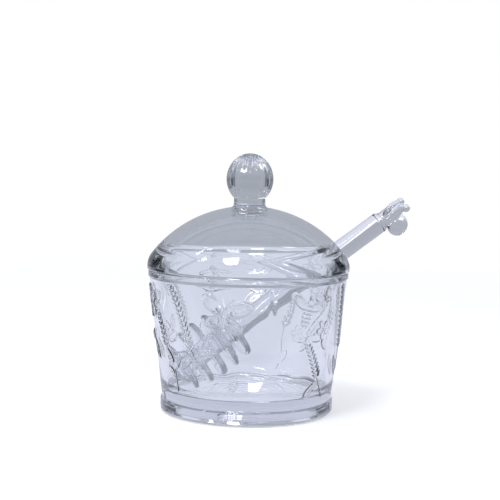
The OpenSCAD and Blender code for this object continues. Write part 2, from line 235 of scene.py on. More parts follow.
# The table that the glass sees gets a patch of painted shade in front and a glowing patch of painted light
# behind.
for colour, across, along in ((TABLE_FRONT_PAINTED_SHADE, PAINTED_SHADE_ACROSS, PAINTED_SHADE_ALONG),
                              (TABLE_PAINTED_GLOW, PAINTED_GLOW_ACROSS, PAINTED_GLOW_ALONG)):
    patch = times(paint, band(paint, on_table[0], *across), band(paint, on_table[1], *along))
    glass_view = mixed(paint, patch, glass_view, colour)
matt = put(paint, "ShaderNodeBsdfDiffuse", {0: TABLE_WHITE}).outputs[0]
lift = glow(paint, WHITE, times(paint, rays["Is Camera Ray"], TABLE_LIFT))
near_pot = put(paint, "ShaderNodeAddShader", {0: matt, 1: lift}).outputs[0]
faded = times(paint, rays["Is Camera Ray"], ramp(paint, off, *TABLE_TO_WHITE))
seen_direct = blend(paint, faded, near_pot, glow(paint, WHITE))
both = blend(paint, from_glass, seen_direct, glow(paint, glass_view))
put(paint, "ShaderNodeOutputMaterial", {0: both})
table.data.materials.append(table_paint)
print("table ends", TABLE_BACK, "m behind the pot")

# %% Light card
CARD_BEHIND, CARD_HALF, CARD_TOP, CARD_FOOT = 0.15, 0.25, 0.057, 0.001
CARD_CORNER, CARD_CORNER_STEPS = 0.006, 6
CARD_LIGHT = (0.81, 0.835, 0.95, 1)


def arc(centre, r, start, end, steps):
    """Points on a circle round centre, from one angle to another, in degrees."""
    angles = np.radians(np.linspace(start, end, steps + 1))
    return [(centre[0] + r * math.cos(a), centre[1] + r * math.sin(a)) for a in angles]


def leave_to_glass(thing):
    """Lets only the rays that come from glass see a thing of the studio."""
    thing.visible_camera = False
    thing.visible_diffuse = False
    thing.visible_shadow = False


round_x, round_z = CARD_HALF - CARD_CORNER, CARD_TOP - CARD_CORNER
outline = ([(-CARD_HALF, CARD_FOOT), (CARD_HALF, CARD_FOOT)]
           + arc((round_x, round_z), CARD_CORNER, 0, 90, CARD_CORNER_STEPS)
           + arc((-round_x, round_z), CARD_CORNER, 90, 180, CARD_CORNER_STEPS))
card = plain_mesh("light_card", [(x, CARD_BEHIND, z) for x, z in outline], [tuple(range(len(outline)))])
card_paint, paint = new_material("card_paint")
put(paint, "ShaderNodeOutputMaterial", {0: glow(paint, CARD_LIGHT)})
card.data.materials.append(card_paint)
leave_to_glass(card)
print("card corners:", len(outline))

# %% Dark boards
BOARD_ASIDE, BOARD_FRONT, BOARD_BACK, BOARD_FOOT, BOARD_TOP = 0.42, 0.02, 0.48, 0.001, 0.26
BOARD_LOW, BOARD_HIGH, LOW_TO_HIGH = (0.27, 0.285, 0.32, 1), (0.05, 0.053, 0.06, 1), (0.08, 0.13)

board_paint, paint = new_material("board_paint")
board_up = xyz(paint, from_texture(paint, "Object"))[2]
board_shade = mixed(paint, ramp(paint, board_up, *LOW_TO_HIGH), BOARD_LOW, BOARD_HIGH)
put(paint, "ShaderNodeOutputMaterial", {0: glow(paint, board_shade)})
for label, x in (("left", -BOARD_ASIDE), ("right", BOARD_ASIDE)):
    board = plain_mesh("board_" + label, [(x, y, z) for y, z in (
        (BOARD_FRONT, BOARD_FOOT), (BOARD_BACK, BOARD_FOOT),
        (BOARD_BACK, BOARD_TOP), (BOARD_FRONT, BOARD_TOP))], [(0, 1, 2, 3)])
    board.data.materials.append(board_paint)
    leave_to_glass(board)
print("boards stand", BOARD_ASIDE, "m to the sides")

# %% Windows
POT_MIDDLE = Vector((0, 0, 0.06))
WINDOW_BRIGHT, GLINT_BRIGHT = 11.0, 2.5


def window(name, at, size, brightness, turn=None):
    """A flat lamp that faces the pot, or straight down and turned about the upright where turn is given.
    Its power is worked out from how bright its face looks."""
    lamp = bpy.data.lights.new(name, "AREA")
    lamp.shape = "RECTANGLE"
    lamp.size, lamp.size_y = size
    lamp.energy = brightness * math.pi * size[0] * size[1]
    made = new_object(name, lamp)
    if turn is None:
        facing = turn_towards(Vector(at), POT_MIDDLE)
    else:
        facing = Matrix.Rotation(math.radians(turn), 4, "Z")
    made.matrix_world = Matrix.Translation(at) @ facing
    made.visible_camera = False


window("window_overhead", (-0.31, -0.58, 1.08), (0.25, 0.60), WINDOW_BRIGHT, turn=-12)
window("window_small_left", (-0.69, 0.10, 1.08), (0.05, 0.13), WINDOW_BRIGHT)
window("window_small_right", (-0.73, -0.13, 1.08), (0.08, 0.18), WINDOW_BRIGHT)
window("glint_behind", (0.006, 0.145, 0.040), (0.009, 0.006), GLINT_BRIGHT)

# %% [markdown]
# ## How the pieces are made
# Glassware of this kind is pressed in a mould that is turned on a lathe, so every piece starts as a
# section that is turned about its axis. The sections below are lists of points, out from the axis and
# up, in millimetres, with the sizes of the CAD model. Round corners are arcs, and long straight
# stretches get extra points, so that the light bends evenly.

# %% Section helpers
MM = 0.001
SAME_POINT = 1e-4


def evenly(points, step):
    """The same line, with points added so that none is further than step from the next."""
    made = [points[0]]
    for a, b in zip(points, points[1:]):
        count = max(1, math.ceil(math.dist(a, b) / step))
        made += [(a[0] + (b[0] - a[0]) * i / count, a[1] + (b[1] - a[1]) * i / count)
                 for i in range(1, count + 1)]
    return made


def joined(*lines):
    """Lines end to end, without a point twice."""
    made = []
    for line in lines:
        for p in line:
            if not made or math.dist(p, made[-1]) > SAME_POINT:
                made.append(p)
    return made


def rounded(a, corner, b, r, steps):
    """The corner between two straight stretches, rounded with radius r."""
    a, corner, b = np.array(a), np.array(corner), np.array(b)
    into, out = (a - corner) / np.linalg.norm(a - corner), (b - corner) / np.linalg.norm(b - corner)
    half = math.acos(max(-1, min(1, float(into @ out)))) / 2
    back = r / math.tan(half)
    middle = corner + (into + out) / np.linalg.norm(into + out) * r / math.sin(half)
    p, q = corner + into * back - middle, corner + out * back - middle
    start, end = math.atan2(p[1], p[0]), math.atan2(q[1], q[0])
    turn = (end - start + math.pi) % (2 * math.pi) - math.pi
    return arc(middle, r, math.degrees(start), math.degrees(start + turn), steps)


def filleted(points, *roundings):
    """The inner corners of a line, each rounded with its own radius and number of steps."""
    made = []
    for a, corner, b, (r, steps) in zip(points, points[1:], points[2:], roundings):
        made += rounded(a, corner, b, r, steps)
    return made


sample = rounded((0, 0), (5, 0), (5, 5), 1, 2)
print("a rounded corner:", [(round(x, 2), round(y, 2)) for x, y in sample])

# %% [markdown]
# ## The lathe
# The lathe is a Geometry Nodes tree. It lays out a flat grid with one column for each step round the
# axis and one row for each point of the section, looks up the section's point for each row, and bends
# the grid round the axis. Merge by Distance then closes the seam and the two poles. The row stays on
# the mesh as an attribute, so later steps know where on the section a point came from.

# %% The lathe's tree
SEAM_GAP = 1e-6


def new_tree(name, sizes):
    """A Geometry Nodes tree with its named inputs, and the nodes that stand for them."""
    tree = bpy.data.node_groups.new(name, "GeometryNodeTree")
    face = tree.interface
    face.new_socket("Geometry", in_out="INPUT", socket_type="NodeSocketGeometry")
    for label, kind, value in sizes:
        face.new_socket(label, in_out="INPUT", socket_type="NodeSocket" + kind).default_value = value
    face.new_socket("Glass", in_out="INPUT", socket_type="NodeSocketMaterial")
    face.new_socket("Geometry", in_out="OUTPUT", socket_type="NodeSocketGeometry")
    return tree, tree.nodes.new("NodeGroupInput").outputs


def finish_tree(tree, geometry, given):
    """Ends a tree: real geometry, smooth shading and the glass."""
    real = put(tree, "GeometryNodeRealizeInstances", {0: geometry})
    smooth = put(tree, "GeometryNodeSetShadeSmooth", {0: real.outputs[0]})
    glass = put(tree, "GeometryNodeSetMaterial",
                {"Geometry": smooth.outputs[0], "Material": given["Glass"]})
    put(tree, "NodeGroupOutput", {0: glass.outputs[0]})
    return tree


lathe, given = new_tree("turn_on_the_lathe", [("Sides", "Int", 96)])
points = put(lathe, "GeometryNodeAttributeDomainSize", {0: given["Geometry"]}).outputs["Point Count"]
rows = calc(lathe, "SUBTRACT", points, 1.0)
columns = calc(lathe, "ADD", given["Sides"], 1.0)
grid = put(lathe, "GeometryNodeMeshGrid",
           {"Size X": given["Sides"], "Size Y": rows, "Vertices X": columns, "Vertices Y": points})
position = put(lathe, "GeometryNodeInputPosition").outputs[0]
flat = xyz(lathe, position)
row = calc(lathe, "ROUND", calc(lathe, "MULTIPLY_ADD", rows, 0.5, flat[1]))
turn = calc(lathe, "DIVIDE", calc(lathe, "MULTIPLY_ADD", given["Sides"], 0.5, flat[0]), given["Sides"])
turn = times(lathe, turn, 2 * math.pi)
named = put(lathe, "GeometryNodeStoreNamedAttribute",
            {"Geometry": grid.outputs[0], "Name": "row", "Value": row}, data_type="INT")
section_point = put(lathe, "GeometryNodeSampleIndex",
                    {"Geometry": given["Geometry"], "Index": row}, data_type="FLOAT_VECTOR")
lathe.links.new(position, section_point.inputs["Value"])
reach = xyz(lathe, section_point.outputs[0])
bent = vector(lathe, times(lathe, reach[0], calc(lathe, "COSINE", turn)),
              times(lathe, reach[0], calc(lathe, "SINE", turn)), reach[2])
placed = put(lathe, "GeometryNodeSetPosition", {"Geometry": named.outputs[0], "Position": bent})
closed = put(lathe, "GeometryNodeMergeByDistance", {"Geometry": placed.outputs[0], "Distance": SEAM_GAP})
finish_tree(lathe, closed.outputs[0], given)
print("lathe nodes:", len(lathe.nodes))

# %% Running a tree
def chain(name, points):
    """An object that is a line from point to point."""
    return plain_mesh(name, points, edges=[(k, k + 1) for k in range(len(points) - 1)])


def run_tree(source, tree, **inputs):
    """Runs a Geometry Nodes tree on an object, which is then removed. Returns the result as a mesh."""
    modifier = source.modifiers.new(tree.name, "NODES")
    modifier.node_group = tree
    for item in tree.interface.items_tree:
        if item.in_out == "INPUT" and item.name in inputs:
            modifier[item.identifier] = inputs[item.name]
    source.update_tag()
    evaluated = source.evaluated_get(bpy.context.evaluated_depsgraph_get())
    mesh = bpy.data.meshes.new_from_object(evaluated)
    source.modifiers.remove(modifier)
    bpy.data.objects.remove(source)
    return mesh


def turned(name, section, sides, glass):
    """The mesh of a section that is turned about the upright axis."""
    line = chain(name + "_section", [(r * MM, 0, z * MM) for r, z in section])
    mesh = run_tree(line, lathe, Sides=sides, Glass=glass)
    mesh.name = name
    return mesh


def positions(mesh):
    """The places of a mesh's points, a row for each."""
    co = np.zeros(len(mesh.vertices) * 3)
    mesh.vertices.foreach_get("co", co)
    return co.reshape(-1, 3)


def make_piece(name, mesh):
    """An object whose faces point outwards, with nothing left on it but its shape."""
    bm = bmesh.new()
    bm.from_mesh(mesh)
    if bm.calc_volume(signed=True) < 0:
        bmesh.ops.reverse_faces(bm, faces=bm.faces)
    open_edges = sum(1 for e in bm.edges if not e.is_manifold)
    bm.to_mesh(mesh)
    bm.free()
    if "row" in mesh.attributes:
        mesh.attributes.remove(mesh.attributes["row"])
    mesh.calc_loop_triangles()
    print(f"{name}: {len(mesh.vertices)} points, {len(mesh.loop_triangles)} triangles,",
          f"open edges {open_edges}")
    return new_object(name, mesh)


print("tree to run:", lathe.name)

# %% [markdown]
# ## The glass
# Pressed glass is clear, with a breath of lavender, and its surface isn't as flat as a window's: it
# follows the mould, which was polished by hand. A soft noise in the bump, about a centimetre long,
# gives that. Fine grain would look like frosting, so there is none. The colour, the roughness and the
# refractive index are the same all over, so they are set on the shader's own sockets. Thick glass is
# darker than thin glass, so each glass also takes a little light away on every millimetre inside it.

# %% Glass materials
def clear_glass(name, tint, index, wave_mm, wave_depth_mm, depth_tint, depth_density):
    """A clear glass. depth_tint and depth_density say what thick glass takes away."""
    material, tree = new_material(name)
    wave = put(tree, "ShaderNodeTexNoise",
               {"Vector": from_texture(tree, "Object"), "Scale": 1 / (wave_mm * MM), "Detail": 1.0,
                "Roughness": 0.4})
    bump = put(tree, "ShaderNodeBump",
               {"Strength": 1.0, "Distance": wave_depth_mm * MM, "Height": wave.outputs["Fac"]})
    skin = put(tree, "ShaderNodeBsdfPrincipled",
               {"Base Color": tint, "Roughness": 0.0, "IOR": index, "Transmission Weight": 1.0,
                "Normal": bump.outputs[0]})
    depth = put(tree, "ShaderNodeVolumeAbsorption", {"Color": depth_tint, "Density": depth_density})
    put(tree, "ShaderNodeOutputMaterial", {"Surface": skin.outputs[0], "Volume": depth.outputs[0]})
    return material


jar_glass = clear_glass("clear_jar_glass", (0.965, 0.972, 0.99, 1), index=1.51, wave_mm=9.0,
                        wave_depth_mm=0.05, depth_tint=(0.45, 0.47, 0.55, 1), depth_density=8.0)
lid_glass = clear_glass("clear_lid_glass", (0.95, 0.96, 0.972, 1), index=1.51, wave_mm=14.0,
                        wave_depth_mm=0.03, depth_tint=(0.40, 0.45, 0.50, 1), depth_density=8.0)
dipper_glass = clear_glass("clear_dipper_glass", (0.955, 0.96, 0.98, 1), index=1.49, wave_mm=8.0,
                           wave_depth_mm=0.02, depth_tint=(0.45, 0.47, 0.55, 1), depth_density=5.0)
print("glass:", jar_glass.name, lid_glass.name, dipper_glass.name)

# %% [markdown]
# ## The jar's section
# The wall leans outwards by six and a half degrees. A band of a little more than half a millimetre
# stands proud at the foot and at the rim, and a hollow under the foot leaves a ring to stand on. The
# relief needs a finer mesh than the inside, so the jar is turned in three stretches: the outer wall
# with many sides, and the inside and the underside with a third as many.

# %% Jar sizes
JAR_H, FOOT_R, RIM_R = 70.0, 43.25, 50.0
BASE_ROUND, FOOT_BAND_TOP, RIM_BAND_FOOT, RIM_ROUND = 1.6, 6.3, 67.2, 0.8
WALL_LOW, WALL_HIGH = (42.55, 7.0), (49.3, 66.5)
WALL_SLOPE = (WALL_HIGH[0] - WALL_LOW[0]) / (WALL_HIGH[1] - WALL_LOW[1])
WALL_T, FLOOR_Z, RECESS = 3.5, 11.0, 1.6
CORNER_R, CORNER_Z = 6.0, 17.0
LARGE_EDGE, SMALL_EDGE = 0.6, 0.5
WALL_STEP, INSIDE_STEP, RIM_STEP, FLOOR_STEP = 1.0, 2.2, 1.0, 3.0
FINE_SIDES, COARSE_EVERY = 300, 3
coarse_sides = FINE_SIDES // COARSE_EVERY


def wall_r(z):
    """How far the bare wall is from the axis at a height."""
    return WALL_LOW[0] + (z - WALL_LOW[1]) * WALL_SLOPE


taper = math.degrees(math.atan(WALL_SLOPE))
bore_top = wall_r(JAR_H) - WALL_T
bore_foot = wall_r(CORNER_Z) - WALL_T
corner_out = bore_foot - CORNER_R / math.cos(math.radians(taper))
base_end, rim_end = (FOOT_R, BASE_ROUND), (RIM_R, JAR_H - RIM_ROUND)
foot_band, rim_band = (FOOT_R, FOOT_BAND_TOP), (RIM_R, RIM_BAND_FOOT)

wall_section = evenly(joined(
    [base_end], filleted([base_end, foot_band, WALL_LOW, WALL_HIGH, rim_band, rim_end],
                         (LARGE_EDGE, 3), *[(SMALL_EDGE, 2)] * 3), [rim_end]), WALL_STEP)
inside_section = joined(
    arc((RIM_R - RIM_ROUND, rim_end[1]), RIM_ROUND, 0, 90, 5)[1:],
    evenly([(RIM_R - RIM_ROUND, JAR_H), (bore_top + 0.7, JAR_H)], RIM_STEP),
    rounded((RIM_R, JAR_H), (bore_top, JAR_H), (corner_out + CORNER_R, CORNER_Z), LARGE_EDGE, 4),
    evenly([(bore_top - 0.08, JAR_H - 0.9), (bore_foot, CORNER_Z)], INSIDE_STEP),
    arc((corner_out, CORNER_Z), CORNER_R, -taper, -90, 10),
    evenly([(corner_out, FLOOR_Z), (0, FLOOR_Z)], FLOOR_STEP))
print("section points:", len(wall_section), len(inside_section))

# %% Underside with its tool marks
STAND_OUT, STAND_IN, HOLLOW_LIP, HOLLOW_R = 41.0, 39.5, 37.65, 36.05
MARKS_R, MARKS_FADE = 35.0, 6.0
MARKS = ((0.018, 1.35, 0.0), (0.008, 2.9, 1.0))


def underside_z(r):
    """The hollow under the foot, with the faint rings that turning left in the mould."""
    fade = max(0.0, min(1.0, (MARKS_R - r) / MARKS_FADE))
    return RECESS + fade * sum(tall * math.sin(r * pitch + start) for tall, pitch, start in MARKS)


hollow = [(r, underside_z(r)) for r in np.linspace(HOLLOW_R - 0.25, 0, 36)]
underside_section = joined(
    arc((FOOT_R - BASE_ROUND, BASE_ROUND), BASE_ROUND, 0, -90, 6)[1:],
    [(STAND_OUT, 0.0), (STAND_IN, 0.0)],
    filleted([(STAND_OUT, 0), (HOLLOW_LIP, 0), (HOLLOW_R, RECESS), (0, RECESS)],
             (SMALL_EDGE, 3), (SMALL_EDGE, 3)), hollow)
wall_mesh = turned("jar_wall", wall_section, FINE_SIDES, jar_glass)
inside_mesh = turned("jar_inside", inside_section, coarse_sides, jar_glass)
underside_mesh = turned("jar_underside", underside_section, coarse_sides, jar_glass)
print("jar meshes:", len(wall_mesh.vertices), len(inside_mesh.vertices), len(underside_mesh.vertices))

# %% [markdown]
# ## The relief
# The raised figures are drawn flat, on a canvas that is the unrolled wall: u runs round the wall in
# millimetres, with 0 at the front, and z is the height above the table. The canvas holds the height
# of the relief for each tenth of a millimetre. A figure is made of three simple marks: a stroke is a
# short round ridge, a dome is a round or oval bump, and a pad is an oval with a flat top and a steep
# edge. In clear glass a pad shows as a thin line along its edge, because only there the light bends.

# %% Canvas
MEAN_R = 46.0
MM_PER_DEGREE = math.radians(MEAN_R)
CANVAS_STEP = 0.1
RIDGE_POWER = 1.3
LIP_WIDTH = 0.1
WHOLE_TURN = 360 * MM_PER_DEGREE
canvas_columns = round(WHOLE_TURN / CANVAS_STEP)
column_step = WHOLE_TURN / canvas_columns
canvas = np.zeros((round(JAR_H / CANVAS_STEP), canvas_columns))


def smooth(share):
    """A soft step from 0 to 1."""
    t = np.clip(share, 0, 1)
    return t * t * (3 - 2 * t)


def mark(u_low, u_high, z_low, z_high, height_of):
    """Raises the canvas to height_of(u, z) inside a window, where it isn't higher already."""
    columns = np.arange(math.floor(u_low / column_step), math.ceil(u_high / column_step) + 1)
    top_row = min(len(canvas) - 1, math.ceil(z_high / CANVAS_STEP))
    rows = np.arange(max(0, math.floor(z_low / CANVAS_STEP)), top_row + 1)
    u, z = np.meshgrid(columns * column_step, rows * CANVAS_STEP)
    cells = np.ix_(rows, columns % canvas_columns)
    canvas[cells] = np.maximum(canvas[cells], height_of(u, z))


def stroke(u0, z0, u1, z1, half=0.45, tall=0.4, half_end=None):
    """A ridge from one point to another. Its half width may change towards the end."""
    half_end = half if half_end is None else half_end
    du, dz, reach = u1 - u0, z1 - z0, max(half, half_end)

    def ridge(u, z):
        t = np.clip(((u - u0) * du + (z - z0) * dz) / max(1e-9, du * du + dz * dz), 0, 1)
        off = np.hypot(u - u0 - t * du, z - z0 - t * dz) / (half + (half_end - half) * t)
        return tall * np.sqrt(np.clip(1 - off ** 2, 0, 1)) ** RIDGE_POWER
    mark(min(u0, u1) - reach, max(u0, u1) + reach, min(z0, z1) - reach, max(z0, z1) + reach, ridge)


def oval_share(u, z, a, b, turn):
    """0 in the middle of an oval of radii a and b, and 1 on its edge."""
    c, s = math.cos(math.radians(turn)), math.sin(math.radians(turn))
    return np.hypot((u * c + z * s) / a, (z * c - u * s) / b)


def dome(u0, z0, a, b, turn, tall):
    """A round or oval bump."""
    reach = max(a, b)
    mark(u0 - reach, u0 + reach, z0 - reach, z0 + reach,
         lambda u, z: tall * np.sqrt(np.clip(1 - oval_share(u - u0, z - z0, a, b, turn) ** 2, 0, 1)))


def pad(u0, z0, a, b, turn, tall, web=0.6, edge=0.34, lip=0.75):
    """An oval with a steep edge and a narrow lip. The web inside the lip is a share of its height."""
    reach = max(a, b)

    def plateau(u, z):
        inside = (1 - oval_share(u - u0, z - z0, a, b, turn)) * min(a, b)
        return tall * smooth(inside / edge) * (1 - (1 - web) * smooth((inside - edge - LIP_WIDTH) / lip))
    mark(u0 - reach, u0 + reach, z0 - reach, z0 + reach, plateau)


def path(points, half, tall, half_end=None):
    """Strokes from point to point. The half width may change on the way."""
    widths = np.linspace(half, half if half_end is None else half_end, len(points))
    for p, q, width, next_width in zip(points, points[1:], widths, widths[1:]):
        stroke(*p, *q, width, tall, next_width)


print("canvas:", canvas.shape)

# %% [markdown]
# An ear of grain repeats one kernel along a stem, which is work for Geometry Nodes: the tree puts a
# short bar on both sides of each point of the stem, leaning away from it. The bars are then marked on
# the canvas.

# %% The tree for the ears of grain
ear_tree, given = new_tree("kernels_along_a_stem", [("Pairs", "Int", 8), ("Kernel", "Float", 0.0026),
                                                    ("Lean", "Float", 0.5), ("Slimmer", "Float", 0.3)])
stem = put(ear_tree, "GeometryNodeMeshToCurve", {0: given["Geometry"]})
beads = put(ear_tree, "GeometryNodeResampleCurve", {"Curve": stem.outputs[0], "Count": given["Pairs"]})
way = xyz(ear_tree, put(ear_tree, "GeometryNodeInputTangent").outputs[0])
heading = calc(ear_tree, "ARCTAN2", way[1], way[0])
share = put(ear_tree, "GeometryNodeSplineParameter").outputs["Factor"]
size = calc(ear_tree, "SUBTRACT", 1.0, times(ear_tree, share, given["Slimmer"]))
kernel = put(ear_tree, "GeometryNodeMeshLine", {"Count": 2, "Offset": vector(ear_tree, given["Kernel"])})
sides = put(ear_tree, "GeometryNodeJoinGeometry")
for side in (1.0, -1.0):
    lean = calc(ear_tree, "MULTIPLY_ADD", given["Lean"], side, heading)
    on_stem = put(ear_tree, "GeometryNodeInstanceOnPoints",
                  {"Points": beads.outputs[0], "Instance": kernel.outputs[0],
                   "Rotation": vector(ear_tree, z=lean), "Scale": size})
    ear_tree.links.new(on_stem.outputs[0], sides.inputs[0])
finish_tree(ear_tree, sides.outputs[0], given)
print("ear nodes:", len(ear_tree.nodes))

# %% Ears of grain
KERNEL_PITCH, KERNEL, KERNEL_HALF, KERNEL_TALL = 2.3, 3.7, 0.58, 0.8
KERNEL_START, KERNEL_END_SHARE, LAST_START, LAST_END_SHARE = 0.34, 0.6, 1.6, 0.5
EAR_LEAN, EAR_SLIMMER, STEM_STEPS = math.radians(40.0), 0.3, 13
STEM, STALK, STALK_END = (0.3, 0.25), (0.42, 0.35), 0.34


def spot(turn, share):
    """A place on the wall, by its turn from the front in degrees and its share of the way from the foot
    band to the rim band."""
    return np.array((turn * MM_PER_DEGREE, WALL_LOW[1] + share * (WALL_HIGH[1] - WALL_LOW[1])))


def ear(*places):
    """A stalk and an ear of grain, from the root over the ear's foot and bow to its top."""
    root, foot, bow, top = (spot(*where) for where in places)
    line = [(1 - t) ** 2 * foot + 2 * t * (1 - t) * bow + t * t * top
            for t in np.linspace(0, 1, STEM_STEPS)]
    pairs = round(math.dist(foot, top) / KERNEL_PITCH)
    mesh = run_tree(chain("stem", [(u * MM, z * MM, 0) for u, z in line]), ear_tree, Pairs=pairs,
                    Kernel=KERNEL * MM, Lean=EAR_LEAN, Slimmer=EAR_SLIMMER)
    ends = positions(mesh)[:, :2] / MM
    for edge in mesh.edges:
        p, q = (ends[i] for i in edge.vertices)
        start = p + (q - p) * KERNEL_START
        stroke(*start, *q, KERNEL_HALF, KERNEL_TALL, KERNEL_HALF * KERNEL_END_SHARE)
    beyond = line[-1] + (line[-1] - line[-2]) * LAST_START
    stroke(*line[-1], *beyond, KERNEL_HALF, KERNEL_TALL, KERNEL_HALF * LAST_END_SHARE)
    path(line, *STEM)
    path([root, foot], *STALK, STALK_END)
    bpy.data.meshes.remove(mesh)
    return pairs


print("pairs of kernels:", ear((-33, 0.29), (-36, 0.49), (-40, 0.76), (-48, 0.96)))

# %% Insects
FINE, FINER = 0.24, 0.2
VEIN_ROOT, VEIN_REACH, VEIN_TALL = 0.15, 0.55, 0.95
BEAD, BEAD_TALL = 0.5, 1.35


def drawn(where, tilt, size):
    """A function that turns a point of a figure's own drawing into a point on the wall."""
    a, middle = math.radians(tilt), spot(*where)
    return lambda x, y: (middle[0] + size * (x * math.cos(a) - y * math.sin(a)),
                         middle[1] + size * (x * math.sin(a) + y * math.cos(a)))


def wing(at, x, y, a, b, own_turn, tilt, size, veins=3, tall=0.6):
    """A wing with a lip, veins from the body, and a few beads near its far edge."""
    centre = at(x, y)
    pad(*centre, a * size, b * size, tilt + own_turn, tall)
    t = math.radians(own_turn)
    outward = math.copysign(1, x)
    for k in range(veins):
        s = (k - (veins - 1) / 2) / max(1, veins - 1)
        far = at(x + VEIN_REACH * a * outward * math.cos(t) - s * b * math.sin(t),
                 y + VEIN_REACH * a * outward * math.sin(t) + s * b * math.cos(t))
        stroke(*at(x * VEIN_ROOT, y * VEIN_ROOT), *far, FINE, tall * VEIN_TALL, FINER)
        dome(*far, BEAD, BEAD, 0, tall * BEAD_TALL)


def butterfly(where, tilt, size):
    at = drawn(where, tilt, size)
    for side in (-1, 1):
        wing(at, 0.58 * side, 0.42, 0.52, 0.30, 34 * side, tilt, size, veins=4)
        wing(at, 0.42 * side, -0.30, 0.36, 0.24, -30 * side, tilt, size, veins=3)
        stroke(*at(0, 0.36), *at(0.22 * side, 0.80), FINE, 0.3, FINER)
    stroke(*at(0, -0.42), *at(0, 0.32), 0.6, 0.9, 0.7)


def dragonfly(where, tilt, size):
    at = drawn(where, tilt, size)
    for side in (-1, 1):
        wing(at, 0.48 * side, 0.24, 0.46, 0.14, 22 * side, tilt, size, veins=2)
        wing(at, 0.44 * side, -0.06, 0.42, 0.13, -12 * side, tilt, size, veins=2)
    stroke(*at(0, 0.02), *at(0, 0.26), 0.85, 1.0, 0.9)
    dome(*at(0, 0.38), 1.05, 0.85, tilt, 1.0)
    for k in range(7):
        y = -0.05 - k * 0.125
        stroke(*at(0, y), *at(0, y - 0.06), 0.58 - 0.04 * k, 0.7)


def honeybee(where, tilt, size):
    at = drawn(where, tilt, size)
    for side in (-1, 1):
        wing(at, 0.46 * side, 0.34, 0.44, 0.19, 32 * side, tilt, size, veins=3)
        stroke(*at(0.04 * side, 0.64), *at(0.20 * side, 0.86), FINE, 0.3)
    pad(*at(0, -0.18), 0.46 * size, 0.21 * size, tilt + 90, 0.55)
    for k, half_width in enumerate((0.13, 0.17, 0.18, 0.14, 0.07)):
        y = 0.10 - k * 0.15
        stroke(*at(-half_width, y), *at(half_width, y), 0.5, 0.9)
    dome(*at(0, 0.34), 0.17 * size, 0.14 * size, tilt, 1.0)
    dome(*at(0, 0.56), 0.11 * size, 0.10 * size, tilt, 0.9)


butterfly((-13, 0.76), -12, 11.5)
dragonfly((-33, 0.42), 28, 13.5)
honeybee((36, 0.79), -14, 12.5)
print("tallest mark so far:", round(float(canvas.max()), 2))

# %% Blossoms and leaves
PETALS, VEINS = 5, 4
VEINS_FROM, VEINS_SPAN, VEIN_ALONG, VEIN_ACROSS, VEIN_HALF = 0.18, 0.6, 0.16, 0.30, 0.22


def blossom(where, tilt, size, tall=0.55):
    """Petals round a middle bud."""
    at = drawn(where, tilt, size)
    for k in range(PETALS):
        a = 360.0 * k / PETALS + 90
        x, y = 0.56 * math.cos(math.radians(a)), 0.56 * math.sin(math.radians(a))
        pad(*at(x, y), 0.44 * size, 0.30 * size, a + tilt, tall)
        stroke(*at(x * 0.4, y * 0.4), *at(x * 1.3, y * 1.3), FINE, tall * 0.9)
    dome(*at(0, 0), 0.2 * size, 0.2 * size, 0, tall * 1.5)


def leaf(start, end, width, tall=0.5):
    """A leaf from its stalk to its point, with a midrib and side veins."""
    p, q = spot(*start), spot(*end)
    along = q - p
    length = float(np.linalg.norm(along))
    across = np.array((-along[1], along[0])) / length
    pad(*((p + q) / 2), length / 2, width / 2, math.degrees(math.atan2(along[1], along[0])), tall)
    stroke(*p, *q, 0.3, tall * 1.1, FINER)
    for k in range(VEINS):
        root = p + along * (VEINS_FROM + VEINS_SPAN * k / VEINS)
        for side in (-1, 1):
            end_of_vein = root + along * VEIN_ALONG + across * side * width * VEIN_ACROSS
            stroke(*root, *end_of_vein, VEIN_HALF, tall * VEIN_TALL)


def bud(start, end, width, tall):
    """A plain oval bump from one place to another."""
    p, q = spot(*start), spot(*end)
    dome(*((p + q) / 2), math.dist(p, q) / 2, width / 2, 0, tall)


blossom((-77, 0.81), 14, 9.0, tall=0.8)
bud((-92, 0.51), (-84, 0.51), 6.4, 1.2)
leaf((-80, 0.49), (-70, 0.35), 5.0)
ear((-50, 0.28), (-57, 0.47), (-60, 0.59), (-64.5, 0.71))
leaf((-50, 0.29), (-44, 0.44), 4.2)
leaf((-50.5, 0.30), (-57, 0.45), 4.2)
leaf((-50, 0.22), (-56, 0.31), 3.4)
path([spot(-48.5, 0.12), spot(-50, 0.29)], *STALK)
butterfly((49, 0.89), 30, 5.5)
path([spot(51.5, 0.84), spot(47, 0.77), spot(41, 0.70), spot(38, 0.64)], 0.32, 0.3)
blossom((30, 0.63), 10, 4.2, tall=0.45)
blossom((50, 0.64), 30, 5.0, tall=0.5)
leaf((41, 0.60), (36, 0.53), 4.0)
leaf((50, 0.56), (55, 0.47), 3.6)
ear((56, 0.08), (49.5, 0.24), (44, 0.40), (38, 0.53))
ear((82, 0.25), (80, 0.44), (74, 0.69), (70, 0.94))
leaf((38, 0.09), (49, 0.20), 4.6)
leaf((76, 0.22), (69, 0.39), 4.4)
print("share of the wall that is raised: %.2f" % np.mean(canvas > 0.02))

